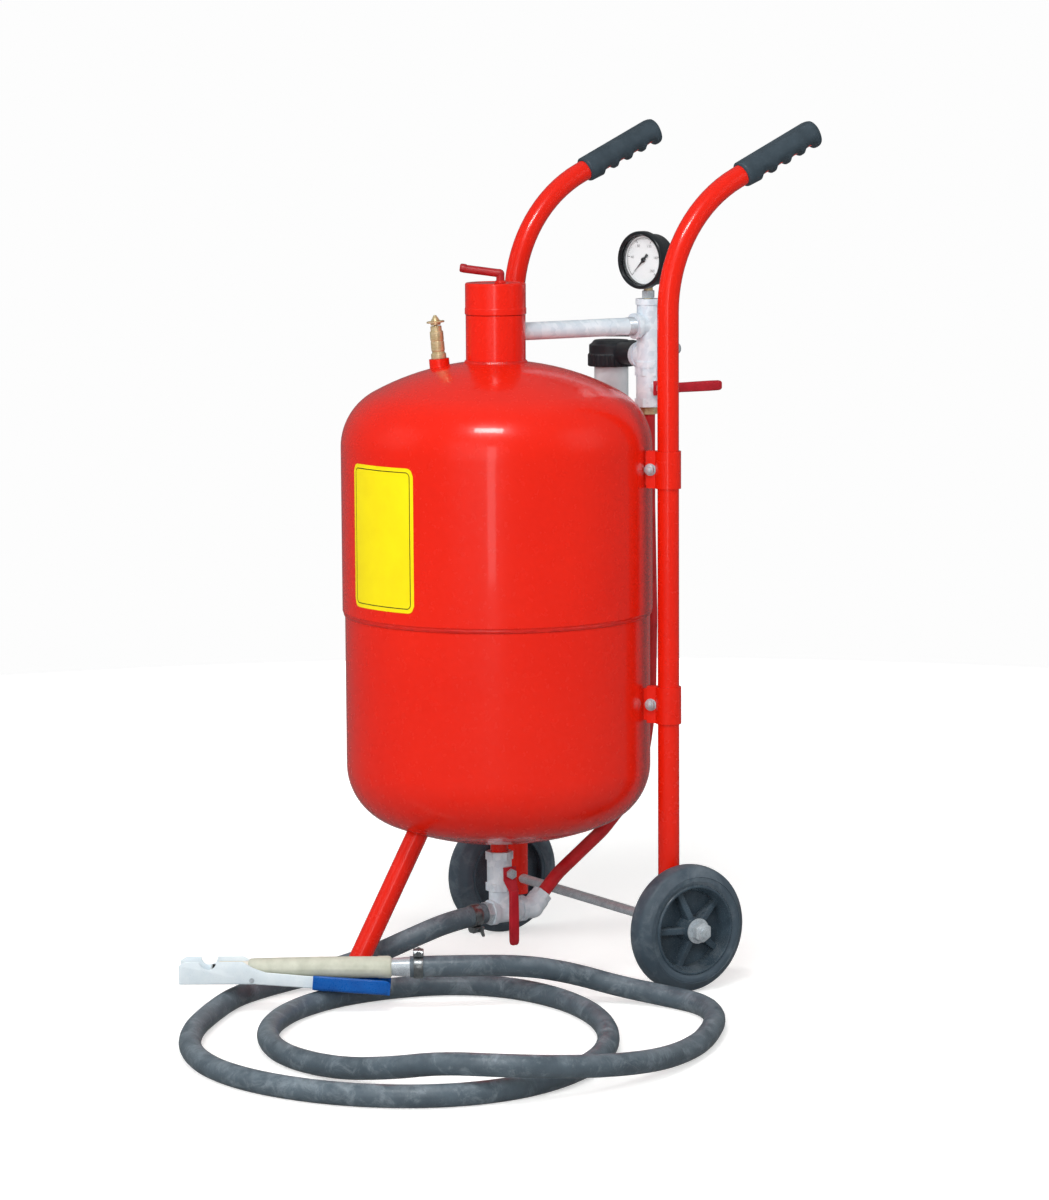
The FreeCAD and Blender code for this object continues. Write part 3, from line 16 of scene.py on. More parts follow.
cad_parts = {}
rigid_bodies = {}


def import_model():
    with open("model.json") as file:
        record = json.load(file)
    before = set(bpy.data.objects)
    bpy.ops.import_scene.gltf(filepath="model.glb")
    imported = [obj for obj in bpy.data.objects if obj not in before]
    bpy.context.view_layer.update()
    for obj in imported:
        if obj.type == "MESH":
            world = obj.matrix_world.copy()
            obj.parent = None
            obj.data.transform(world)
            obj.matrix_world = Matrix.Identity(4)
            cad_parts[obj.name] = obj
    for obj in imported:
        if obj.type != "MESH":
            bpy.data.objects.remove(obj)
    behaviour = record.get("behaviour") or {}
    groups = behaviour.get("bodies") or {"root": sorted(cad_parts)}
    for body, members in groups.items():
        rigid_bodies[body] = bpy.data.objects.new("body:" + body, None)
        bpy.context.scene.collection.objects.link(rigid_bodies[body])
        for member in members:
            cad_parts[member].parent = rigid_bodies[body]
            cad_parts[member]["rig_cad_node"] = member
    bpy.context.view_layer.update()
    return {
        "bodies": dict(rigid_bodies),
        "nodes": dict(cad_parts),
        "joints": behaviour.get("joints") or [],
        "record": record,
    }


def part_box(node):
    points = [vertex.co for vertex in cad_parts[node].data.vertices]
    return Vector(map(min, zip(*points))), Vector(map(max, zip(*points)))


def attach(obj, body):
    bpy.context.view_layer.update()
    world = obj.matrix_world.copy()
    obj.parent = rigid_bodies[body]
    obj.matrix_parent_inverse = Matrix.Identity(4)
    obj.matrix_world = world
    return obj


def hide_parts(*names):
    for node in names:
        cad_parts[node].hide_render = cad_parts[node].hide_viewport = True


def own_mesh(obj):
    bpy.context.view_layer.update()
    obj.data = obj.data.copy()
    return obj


LOG = logging.getLogger("blaster")
MM = 0.001
SMOOTH_ANGLE = math.radians(32)
BEVEL_ANGLE = math.radians(40)
BEVEL_SEGMENTS = 3
WELD_DISTANCE = 0.00001
UP = Vector((0, 0, 1))
ACROSS = Vector((1, 0, 0))
BACK = Vector((0, 1, 0))

Outline = list[tuple[float, float]]


# ---------------------------------------------------------------- places

def linear(colour: str) -> tuple[float, float, float, float]:
    """Turn an sRGB hex colour to linear values.

    Args:
        colour: six hex digits after a hash sign.

    Returns:
        Red, green and blue in linear light, and an alpha of one.
    """
    parts = [int(colour[start:start + 2], 16) / 255 for start in (1, 3, 5)]
    curve = [part / 12.92 if part <= 0.04045 else ((part + 0.055) / 1.055) ** 2.4 for part in parts]
    return (curve[0], curve[1], curve[2], 1.0)


def middle_of(node: str) -> Vector:
    """The middle of a node's box, in millimetres."""
    low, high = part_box(node)
    return (low + high) / 2 / MM


def low_of(node: str) -> Vector:
    """The lowest corner of a node's box, in millimetres."""
    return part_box(node)[0] / MM


def high_of(node: str) -> Vector:
    """The highest corner of a node's box, in millimetres."""
    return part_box(node)[1] / MM


def seat(at: Vector, out: Vector = UP, side: Optional[Vector] = None) -> Matrix:
    """A place with its own axes.

    Args:
        at: the origin of the place, in millimetres.
        out: the way its own Z points.
        side: roughly the way its own X points.

    Returns:
        The matrix from the place's own axes to the frame, in millimetres.
    """
    z = out.normalized()
    hint = side if side is not None else (ACROSS if abs(z.x) < 0.9 else BACK)
    y = z.cross(hint).normalized()
    x = y.cross(z)
    turn = Matrix((x, y, z)).transposed().to_4x4()
    return Matrix.Translation(at) @ turn


# ---------------------------------------------------------------- mesh making

def rounded(corners: Sequence[tuple[float, ...]], steps: int = 5, closed: bool = True) -> Outline:
    """Round the corners of an outline with true arcs.

    Args:
        corners: x and y of each corner, and its radius if it has one.
        steps: how many points an arc gets.
        closed: whether the last corner joins the first.

    Returns:
        The points of the rounded outline.
    """
    points: Outline = []
    count = len(corners)
    for number, corner in enumerate(corners):
        here = Vector(corner[:2])
        radius = corner[2] if len(corner) > 2 else 0.0
        at_end = not closed and number in (0, count - 1)
        if radius <= 0 or at_end:
            points.append((here.x, here.y))
            continue
        before = Vector(corners[number - 1][:2]) - here
        after = Vector(corners[(number + 1) % count][:2]) - here
        room = 0.48 * min(before.length, after.length)
        before.normalize()
        after.normalize()
        half = before.angle(after) / 2
        if half > math.pi / 2 - 0.02:
            points.append((here.x, here.y))
            continue
        setback = min(radius / math.tan(half), room)
        radius = setback * math.tan(half)
        centre = here + (before + after).normalized() * (radius / math.sin(half))
        start = here + before * setback - centre
        sweep = start.angle_signed(here + after * setback - centre)
        for step in range(steps + 1):
            turned_by = -sweep * step / steps
            arm = Vector((start.x * math.cos(turned_by) - start.y * math.sin(turned_by),
                          start.x * math.sin(turned_by) + start.y * math.cos(turned_by)))
            points.append((centre.x + arm.x, centre.y + arm.y))
    return points


def mesh_piece(name: str, points: Sequence[Vector], faces: Sequence[Sequence[int]], place: Matrix,
               edge: float = 0.0) -> bpy.types.Object:
    """Make a smooth-shaded piece from points in millimetres.

    Args:
        name: the piece's name.
        points: corners in the place's own axes.
        faces: corner numbers of each face.
        place: where the piece goes.
        edge: radius of its edges, left sharp if it is zero.

    Returns:
        The new object, with its mesh in the frame in metres.
    """
    mesh = bpy.data.meshes.new(name)
    mesh.from_pydata([place @ Vector(point) * MM for point in points], [], faces)
    mesh.validate()
    mesh.update()
    piece = bpy.data.objects.new(name, mesh)
    bpy.context.scene.collection.objects.link(piece)
    tidy_mesh(mesh)
    if edge > 0:
        bevel = piece.modifiers.new("edge", "BEVEL")
        bevel.width = edge * MM
        bevel.segments = BEVEL_SEGMENTS
        bevel.limit_method = "ANGLE"
        bevel.angle_limit = BEVEL_ANGLE
        bevel.harden_normals = False
    return piece


def tidy_mesh(mesh: bpy.types.Mesh) -> None:
    """Join doubled corners, point the faces outward and shade them smooth up to the sharp edges."""
    work = bmesh.new()
    work.from_mesh(mesh)
    bmesh.ops.remove_doubles(work, verts=work.verts, dist=WELD_DISTANCE)
    bmesh.ops.recalc_face_normals(work, faces=work.faces)
    work.to_mesh(mesh)
    work.free()
    mesh.shade_smooth()
    mesh.set_sharp_from_angle(angle=SMOOTH_ANGLE)


def turned(name: str, outline: Outline, place: Matrix, closed: bool = True, steps: int = 96,
           shape: Optional[Callable[[float, float, float], tuple[float, float]]] = None) -> bpy.types.Object:
    """Turn an outline of radius and height about the place's own Z.

    Args:
        name: the piece's name.
        outline: radius and height of each point.
        place: where the piece goes.
        closed: whether the outline's last point joins its first.
        steps: how many strips go round.
        shape: changes a radius and height, given the angle round the axis.

    Returns:
        The turned piece.
    """
    points = []
    for step in range(steps):
        angle = 2 * math.pi * step / steps
        for radius, height in outline:
            if shape is not None:
                radius, height = shape(radius, height, angle)
            points.append(Vector((radius * math.cos(angle), radius * math.sin(angle), height)))
    count = len(outline)
    faces = []
    for step in range(steps):
        here, there = step * count, (step + 1) % steps * count
        for number in range(count if closed else count - 1):
            after = (number + 1) % count
            faces.append((here + number, there + number, there + after, here + after))
    return mesh_piece(name, points, faces, place)


def pressed(name: str, outline: Outline, thickness: float, place: Matrix,
            edge: float = 0.4) -> bpy.types.Object:
    """Give a flat outline a thickness along the place's own Z, and round its edges."""
    count = len(outline)
    points = [Vector((x, y, height)) for height in (0.0, thickness) for x, y in outline]
    faces: list[tuple[int, ...]] = [tuple(reversed(range(count))), tuple(range(count, 2 * count))]
    faces += [(number, (number + 1) % count, count + (number + 1) % count, count + number)
              for number in range(count)]
    return mesh_piece(name, points, faces, place, edge)


def lofted(name: str, rings: Sequence[Sequence[Vector]], place: Matrix,
           capped: bool = True) -> bpy.types.Object:
    """Skin a row of rings that have the same number of points each."""
    count = len(rings[0])
    points = [point for ring in rings for point in ring]
    faces: list[tuple[int, ...]] = []
    for number in range(len(rings) - 1):
        here, there = number * count, (number + 1) * count
        faces += [(here + side, here + (side + 1) % count, there + (side + 1) % count, there + side)
                  for side in range(count)]
    if capped:
        faces.append(tuple(reversed(range(count))))
        faces.append(tuple(range((len(rings) - 1) * count, len(rings) * count)))
    return mesh_piece(name, points, faces, place)


def six_sided(across_flats: float) -> Outline:
    """The corners of a hexagon."""
    radius = across_flats / math.sqrt(3)
    return [(radius * math.cos(math.radians(60 * side)), radius * math.sin(math.radians(60 * side)))
            for side in range(6)]


def curve_piece(name: str, points: Sequence[Vector], radius: float, smooth: bool) -> bpy.types.Object:
    """Make a round rod or hose along points in millimetres.

    Args:
        name: the piece's name.
        points: control points in the frame.
        radius: half its thickness.
        smooth: a smooth spline through the run of points, or straight runs between them.

    Returns:
        The curve object, in metres.
    """
    data = bpy.data.curves.new(name, "CURVE")
    data.dimensions = "3D"
    data.bevel_depth = radius * MM
    data.bevel_resolution = 8
    data.use_fill_caps = True
    data.resolution_u = 10
    spline = data.splines.new("NURBS" if smooth else "POLY")
    spline.points.add(len(points) - 1)
    for control, point in zip(spline.points, points):
        control.co = (*(point * MM), 1.0)
    if smooth:
        spline.order_u = 3
        spline.use_endpoint_u = True
    piece = bpy.data.objects.new(name, data)
    bpy.context.scene.collection.objects.link(piece)
    return piece


def meshed(curve: bpy.types.Object) -> bpy.types.Object:
    """Turn a finished curve piece into a mesh, so that a joint can squash it.

    Args:
        curve: the curve piece, which is removed.

    Returns:
        The mesh piece, under the same name.
    """
    bpy.context.view_layer.update()
    name = curve.name
    whole = bpy.data.meshes.new_from_object(curve.evaluated_get(bpy.context.evaluated_depsgraph_get()))
    bpy.data.objects.remove(curve)
    piece = bpy.data.objects.new(name, whole)
    bpy.context.scene.collection.objects.link(piece)
    return piece


def joined(name: str, pieces: Sequence[bpy.types.Object]) -> bpy.types.Object:
    """Join meshes into one piece, with their edge rounding applied first."""
    graph = bpy.context.evaluated_depsgraph_get()
    points: list[Vector] = []
    faces: list[tuple[int, ...]] = []
    for piece in pieces:
        finished = piece.evaluated_get(graph)
        mesh = bpy.data.meshes.new_from_object(finished)
        offset = len(points)
        points += [vertex.co.copy() for vertex in mesh.vertices]
        faces += [tuple(offset + corner for corner in face.vertices) for face in mesh.polygons]
        bpy.data.meshes.remove(mesh)
        bpy.data.objects.remove(piece)
    mesh = bpy.data.meshes.new(name)
    mesh.from_pydata(points, [], faces)
    mesh.update()
    mesh.shade_smooth()
    mesh.set_sharp_from_angle(angle=SMOOTH_ANGLE)
    whole = bpy.data.objects.new(name, mesh)
    bpy.context.scene.collection.objects.link(whole)
    return whole


# ---------------------------------------------------------------- finishes

def add(tree: bpy.types.NodeTree, kind: str, settings: Optional[dict] = None,
        inputs: Optional[dict] = None) -> bpy.types.Node:
    """Add a node to a material.

    Args:
        tree: the material's nodes.
        kind: the node's type.
        settings: fields of the node itself.
        inputs: value or source of each input, by name or number.

    Returns:
        The new node.
    """
    made = tree.nodes.new(kind)
    for setting, value in (settings or {}).items():
        setattr(made, setting, value)
    for key, value in (inputs or {}).items():
        if isinstance(value, bpy.types.NodeSocket):
            tree.links.new(value, made.inputs[key])
        else:
            made.inputs[key].default_value = value
    return made


def per_metre(size: float) -> float:
    """Noise scale whose blotches are about the given size in millimetres."""
    return 1.0 / (size * MM)


@dataclass(frozen=True)
class Finish:
    """A real material and how its surface was made.

    The colour wanders to a second one in soft blotches, the roughness wanders with them, the grain stands up
    from the surface, and dust settles on what faces up.
    """

    name: str
    slot: str
    colour: str
    second: str
    roughness: float
    roughness_spread: float = 0.05
    metallic: float = 0.0
    ior: float = 1.5
    coat: float = 0.0
    coat_roughness: float = 0.06
    blotch: float = 60.0
    grain: float = 1.5
    grain_height: float = 0.02
    stretch: tuple[float, float, float] = (1.0, 1.0, 1.0)
    dust: float = 0.0
    dust_colour: str = "#B9B7B0"
    edge_round: float = 0.0
    transmission: float = 0.0
    alpha: float = 1.0

    def material(self) -> bpy.types.Material:
        """The material, made on first use."""
        known = bpy.data.materials.get(self.name)
        return known if known is not None else self.make()

    def make(self) -> bpy.types.Material:
        """Build the material's nodes.

        Returns:
            The finished material.
        """
        made = bpy.data.materials.new(self.name)
        made.use_nodes = True
        tree = made.node_tree
        tree.nodes.clear()
        place = add(tree, "ShaderNodeTexCoord").outputs["Object"]
        stretched = add(tree, "ShaderNodeMapping", inputs={"Vector": place, "Scale": self.stretch}).outputs[0]
        blotch = add(tree, "ShaderNodeTexNoise", inputs={
            "Vector": stretched, "Scale": per_metre(self.blotch), "Detail": 4.0, "Roughness": 0.6})
        fine = add(tree, "ShaderNodeTexNoise", inputs={
            "Vector": stretched, "Scale": per_metre(self.grain), "Detail": 3.0, "Roughness": 0.55})
        share = add(tree, "ShaderNodeMapRange", inputs={
            "Value": blotch.outputs["Fac"], "From Min": 0.3, "From Max": 0.7})
        colour = add(tree, "ShaderNodeMix", {"data_type": "RGBA"}, {
            0: share.outputs[0], 6: linear(self.colour), 7: linear(self.second)}).outputs[2]
        rough = add(tree, "ShaderNodeMapRange", inputs={
            "Value": fine.outputs["Fac"], "From Min": 0.25, "From Max": 0.75,
            "To Min": max(0.02, self.roughness - self.roughness_spread),
            "To Max": self.roughness + self.roughness_spread}).outputs[0]
        colour, rough = self.marks(tree, place, colour, rough)
        if self.dust > 0:
            colour, rough = self.dusted(tree, place, colour, rough)
        height = self.relief(tree, place, fine.outputs["Fac"])
        normal = add(tree, "ShaderNodeBump", inputs={
            "Strength": 0.6, "Distance": self.grain_height * MM, "Height": height})
        if self.edge_round > 0:
            soft = add(tree, "ShaderNodeBevel", {"samples": 4}, {"Radius": self.edge_round * MM})
            tree.links.new(soft.outputs[0], normal.inputs["Normal"])
        shader = add(tree, "ShaderNodeBsdfPrincipled", inputs={
            "Base Color": colour, "Roughness": rough, "Metallic": self.metallic, "IOR": self.ior,
            "Coat Weight": self.coat, "Coat Roughness": self.coat_roughness,
            "Transmission Weight": self.transmission, "Alpha": self.alpha, "Normal": normal.outputs[0]})
        add(tree, "ShaderNodeOutputMaterial", inputs={"Surface": shader.outputs[0]})
        made.diffuse_color = linear(self.colour)
        return made

    def marks(self, tree: bpy.types.NodeTree, place: bpy.types.NodeSocket, colour: bpy.types.NodeSocket,
              rough: bpy.types.NodeSocket) -> tuple[bpy.types.NodeSocket, bpy.types.NodeSocket]:
        """What this finish adds to colour and roughness: nothing, unless a finish has marks of its own."""
        return colour, rough

    def relief(self, tree: bpy.types.NodeTree, place: bpy.types.NodeSocket,
               fine: bpy.types.NodeSocket) -> bpy.types.NodeSocket:
        """The height that the bump follows: the fine grain alone, unless a finish has more."""
        return fine

    def dusted(self, tree: bpy.types.NodeTree, place: bpy.types.NodeSocket, colour: bpy.types.NodeSocket,
               rough: bpy.types.NodeSocket) -> tuple[bpy.types.NodeSocket, bpy.types.NodeSocket]:
        """Lay thin dust on the faces that look up. On the blast hose this pale coat is partly a painted
        highlight.

        Args:
            tree: the material's nodes.
            place: the surface's own coordinates.
            colour: the colour under the dust.
            rough: the roughness under the dust.

        Returns:
            The colour and roughness with the dust on them.
        """
        facing = add(tree, "ShaderNodeSeparateXYZ", inputs={
            0: add(tree, "ShaderNodeNewGeometry").outputs["Normal"]}).outputs["Z"]
        upward = add(tree, "ShaderNodeMapRange", inputs={
            "Value": facing, "From Min": 0.1, "From Max": 1.0}).outputs[0]
        patch = add(tree, "ShaderNodeTexNoise", inputs={
            "Vector": place, "Scale": per_metre(22.0), "Detail": 5.0, "Roughness": 0.7}).outputs["Fac"]
        patchy = add(tree, "ShaderNodeMapRange", inputs={
            "Value": patch, "From Min": 0.4, "From Max": 0.75}).outputs[0]
        cover = add(tree, "ShaderNodeMath", {"operation": "MULTIPLY"}, {0: upward, 1: patchy}).outputs[0]
        thin = add(tree, "ShaderNodeMath", {"operation": "MULTIPLY"}, {0: cover, 1: self.dust}).outputs[0]
        dusty = add(tree, "ShaderNodeMix", {"data_type": "RGBA"}, {
            0: thin, 6: colour, 7: linear(self.dust_colour)}).outputs[2]
        duller = add(tree, "ShaderNodeMath", {"operation": "ADD", "use_clamp": True}, {0: rough, 1: thin})
        return dusty, duller.outputs[0]


@dataclass(frozen=True)
class WrappedRubber(Finish):
    """Rubber that was cured inside a cloth wrap, which leaves its weave and pale scuffs on the surface."""

    wrap: float = 2.4
    scuff: float = 26.0
    scuff_colour: str = "#8C979E"
    scuff_share: float = 0.6

    def marks(self, tree: bpy.types.NodeTree, place: bpy.types.NodeSocket, colour: bpy.types.NodeSocket,
              rough: bpy.types.NodeSocket) -> tuple[bpy.types.NodeSocket, bpy.types.NodeSocket]:
        """Pale rubbed streaks where the hose has been dragged."""
        streak = add(tree, "ShaderNodeTexNoise", inputs={
            "Vector": place, "Scale": per_metre(self.scuff), "Detail": 8.0, "Roughness": 0.75,
            "Distortion": 0.6}).outputs["Fac"]
        where = add(tree, "ShaderNodeMapRange", inputs={
            "Value": streak, "From Min": 0.5, "From Max": 0.68, "To Max": self.scuff_share}).outputs[0]
        mixed = add(tree, "ShaderNodeMix", {"data_type": "RGBA"}, {
            0: where, 6: colour, 7: linear(self.scuff_colour)}).outputs[2]
        return mixed, rough

    def relief(self, tree: bpy.types.NodeTree, place: bpy.types.NodeSocket,
               fine: bpy.types.NodeSocket) -> bpy.types.NodeSocket:
        """Add the weave of the cloth wrap to the grain."""
        weave = add(tree, "ShaderNodeTexVoronoi", inputs={
            "Vector": place, "Scale": per_metre(self.wrap)}).outputs["Distance"]
        return add(tree, "ShaderNodeMath", {"operation": "ADD"}, {0: fine, 1: weave}).outputs[0]


@dataclass(frozen=True)
class Galvanised(Finish):
    """Steel dipped in zinc, whose crystals show as grey spangles of many brightnesses."""

    spangle: float = 7.0
    spangle_colour: str = "#8FA9BC"

    def marks(self, tree: bpy.types.NodeTree, place: bpy.types.NodeSocket, colour: bpy.types.NodeSocket,
              rough: bpy.types.NodeSocket) -> tuple[bpy.types.NodeSocket, bpy.types.NodeSocket]:
        """Crystals that are each a little brighter or darker than the next."""
        crystal = add(tree, "ShaderNodeTexVoronoi", inputs={
            "Vector": place, "Scale": per_metre(self.spangle)}).outputs["Color"]
        grey = add(tree, "ShaderNodeSeparateColor", inputs={0: crystal}).outputs[0]
        share = add(tree, "ShaderNodeMath", {"operation": "MULTIPLY"}, {0: grey, 1: 0.28}).outputs[0]
        mixed = add(tree, "ShaderNodeMix", {"data_type": "RGBA"}, {
            0: share, 6: colour, 7: linear(self.spangle_colour)}).outputs[2]
        return mixed, rough


class Finishes:
    """Every finish on the blaster."""

    # Enamel over steel, sprayed and baked: deep gloss with a faint orange-peel ripple.
    ENAMEL = Finish("baked_enamel_steel", "red_enamel", "#E4210C", "#DE1D0A", 0.26, 0.03, ior=1.4, coat=0.4,
                    coat_roughness=0.05, blotch=180.0, grain=9.0, grain_height=0.004, edge_round=0.9)
    # The same enamel on a weld: it is thin over the ripples, so it looks duller.
    ENAMEL_WELD = Finish("enamel_over_weld", "red_enamel", "#D21C0B", "#C01509", 0.34, 0.08, coat=0.4,
                         coat_roughness=0.15, blotch=9.0, grain=1.6, grain_height=0.12)
    # Vinyl dipped over a bent rod, with a softer gloss: the levers' crimson vinyl, painted a deeper red as
    # painted shade on the rod.
    VINYL_WITH_PAINTED_SHADE = Finish("dipped_vinyl_with_painted_shade", "red_enamel", "#B32226", "#94191F", 0.38, 0.06, blotch=14.0,
                           grain=1.4, grain_height=0.05)
    # Plasticised vinyl sleeve on the valve levers: crimson, waxy gloss, faint mould ripple.
    LEVER_VINYL = Finish("moulded_vinyl_crimson", "lever_vinyl", "#C21F2E", "#A81824", 0.36, 0.06, ior=1.53,
                         blotch=16.0, grain=1.2, grain_height=0.05)
    # Nitrile gasket, cut from sheet: dead matt.
    GASKET = Finish("cut_nitrile_rubber", "rubber_gasket", "#191A1B", "#232527", 0.82, 0.08, blotch=8.0,
                    grain=0.7, grain_height=0.04)
    # Free-cutting brass, turned: warm metal with fine tool rings and a little tarnish.
    BRASS = Finish("turned_brass", "brass", "#E2D3AC", "#C6AF7E", 0.3, 0.1, metallic=0.45, blotch=7.0,
                   grain=0.5,
                   grain_height=0.03, stretch=(0.3, 0.3, 2.5))
    # Spring steel wire, cold drawn: fine lengthwise lines.
    SPRING = Finish("drawn_spring_steel", "spring_steel", "#9FA4A8", "#7B8186", 0.36, 0.06, metallic=1.0,
                    blotch=6.0, grain=0.5)
    # Galvanised malleable iron and pipe: pale blue-grey with soft spangles.
    GALVANISED = Galvanised("hot_dip_galvanised_iron", "zinc_fitting", "#EEF5FA", "#DCE8F1", 0.42, 0.08,
                            metallic=0.15, blotch=20.0, grain=1.2, grain_height=0.06, dust=0.25,
                            edge_round=0.6)
    # Steel pressing plated with bright zinc: light, nearly white.
    ZINC_PRESSING = Finish("bright_zinc_pressed_steel", "zinc_fitting", "#EDF6FA", "#DCE9F0", 0.33, 0.08,
                           metallic=0.15, blotch=25.0, grain=1.0, grain_height=0.03, edge_round=0.5)
    # Enamelled steel gauge case: near-black, smooth gloss.
    GAUGE_BLACK = Finish("stoved_black_steel", "gauge_black", "#1B2024", "#14181B", 0.3, 0.05, coat=0.4,
                         blotch=30.0, grain=1.5, grain_height=0.02)
    # Printed aluminium dial plate: cool white, flat.
    DIAL = Finish("printed_dial_plate", "dial_white", "#FAFDFE", "#F2F8FA", 0.55, 0.05, blotch=14.0,
                  grain=0.6,
                  grain_height=0.01)
    # Screen-printed dial ink: black, slightly raised and dull.
    INK = Finish("dial_ink", "gauge_black", "#22282D", "#1A2024", 0.6, 0.05, blotch=10.0, grain=0.5,
                 grain_height=0.01)
    # Polycarbonate lens: clear, with a soft reflection.
    LENS = Finish("moulded_polycarbonate", "lens", "#F7FBFC", "#F3F9FB", 0.06, 0.02, ior=1.58,
                  transmission=1.0,
                  alpha=0.12, blotch=20.0, grain=3.0, grain_height=0.004)
    # Glass-filled nylon filter head: black with a dull moulded skin.
    FILTER_HEAD = Finish("moulded_nylon_black", "filter_black", "#171B1F", "#22282D", 0.48, 0.08, blotch=12.0,
                         grain=0.8, grain_height=0.05, edge_round=0.6, dust=0.15)
    # Polycarbonate filter bowl: milky from use.
    BOWL = Finish("milky_polycarbonate_bowl", "bowl_clear", "#EEF3F6", "#DFE7EC", 0.22, 0.06, ior=1.5,
                  transmission=0.2, alpha=0.95, blotch=18.0, grain=1.5, grain_height=0.02)
    # Sintered polyethylene element: chalky white.
    FELT = Finish("sintered_filter_element", "filter_felt", "#ECEBE4", "#DDDBD0", 0.9, 0.05, blotch=5.0,
                  grain=0.5, grain_height=0.1)
    # Red air hose, extruded rubber cover: fine lengthwise lines, a little dusty.
    AIR_HOSE = Finish("extruded_red_rubber", "red_hose", "#C9242A", "#A81A20", 0.42, 0.08, blotch=25.0,
                      grain=0.9, grain_height=0.05, dust=0.2)
    # Blast hose, cured in a cloth wrap: charcoal with scuffs, and a pale blue-grey coat on its up-facing
    # faces that is partly dust and partly a painted highlight.
    BLAST_HOSE = WrappedRubber("cloth_wrapped_black_rubber", "black_hose", "#56636C", "#465159", 0.34, 0.08,
                               blotch=40.0, grain=1.1, grain_height=0.16, dust=0.55, dust_colour="#9AA6AD")
    # Solid rubber tyre, moulded: slate grey with a dusty bloom.
    TYRE = WrappedRubber("moulded_solid_rubber_tyre", "tyre_rubber", "#475560", "#3A4751", 0.46, 0.1,
                         blotch=50.0, grain=0.9, grain_height=0.08, dust=0.3, dust_colour="#98A2A8",
                         wrap=1.6, scuff=40.0, scuff_share=0.3)
    # Polypropylene wheel centre: dark slate with a moulded sheen.
    HUB = Finish("moulded_polypropylene_hub", "hub_plastic", "#42515C", "#34414B", 0.24, 0.08, blotch=20.0,
                 grain=1.2, grain_height=0.05, edge_round=0.8, dust=0.15)
    # Foamed vinyl hand grip: soft black-blue with pebbled skin.
    GRIP = Finish("moulded_pvc_grip", "grip_pvc", "#2F3B43", "#3A4750", 0.5, 0.08, blotch=18.0, grain=1.3,
                  grain_height=0.12, dust=0.15, dust_colour="#6E7A82")
    # Zinc-plated steel hardware: bright with a bluish cast.
    PLATED = Finish("zinc_plated_steel", "plated_steel", "#D5DDE2", "#B9C3CA", 0.3, 0.08, metallic=0.45,
                    blotch=8.0, grain=0.7, grain_height=0.04, dust=0.1, edge_round=0.3)
    # Stainless clamp band, rolled.
    BAND = Finish("rolled_stainless_band", "plated_steel", "#B9BDBE", "#8E9496", 0.32, 0.1, metallic=0.95,
                  blotch=6.0, grain=0.6, grain_height=0.04)
    # Sand-cast aluminium nozzle body: dull beige-grey with pits.
    CAST = Finish("sand_cast_aluminium", "cast_metal", "#D2D4C4", "#BDC0AF", 0.6, 0.1, metallic=0.1,
                  blotch=16.0, grain=1.3, grain_height=0.22, dust=0.2, dust_colour="#D8D8CC")
    # Pressed and fired ceramic tip: warm white with a glaze.
    CERAMIC = Finish("fired_ceramic", "ceramic", "#EDEBE0", "#E2DFD1", 0.35, 0.06, blotch=9.0, grain=0.8,
                     grain_height=0.02)
    # Vinyl dip on the nozzle lever: saturated blue with a waxy sheen.
    BLUE_VINYL = Finish("dipped_vinyl_blue", "blue_vinyl", "#0A5DB0", "#064C9A", 0.3, 0.06, blotch=18.0,
                        grain=1.5, grain_height=0.05)
    # Vinyl label film with a gloss overlay.
    LABEL = Finish("printed_vinyl_label", "label_yellow", "#F6E204", "#EFD803", 0.34, 0.05, blotch=40.0,
                   grain=2.0, grain_height=0.02)
    # Black border printed on the label.
    LABEL_INK = Finish("label_border_ink", "label_yellow", "#3A3410", "#2E290C", 0.4, 0.05, blotch=20.0,
                       grain=1.0, grain_height=0.01)


def dress(piece: bpy.types.Object, finish: Finish) -> bpy.types.Object:
    """Give a piece its finish."""
    piece.data.materials.clear()
    piece.data.materials.append(finish.material())
    return piece


def dress_node(frame: dict, node: str, finish: Finish) -> None:
    """Give a CAD node its finish and smooth shading up to its sharp edges."""
    item = frame["nodes"][node]
    item.data.materials.clear()
    item.data.materials.append(finish.material())
    item.data.shade_smooth()
    item.data.set_sharp_from_angle(angle=SMOOTH_ANGLE)
    LOG.info("%s wears %s", node, finish.name)


def fit(piece: bpy.types.Object, finish: Finish, body: str, *nodes: str) -> bpy.types.Object:
    """Dress a piece, make it ride on a body, and let it stand for CAD nodes.

    Args:
        piece: the new piece.
        finish: its finish.
        body: the body that it moves with.
        nodes: the CAD nodes that it stands for.

    Returns:
        The same piece.
    """
    dress(piece, finish)
    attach(piece, body)
    if nodes:
        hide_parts(*nodes)
    LOG.info("%s in %s rides on %s", piece.name, finish.name, body)
    return piece


# ---------------------------------------------------------------- camera, light and floor

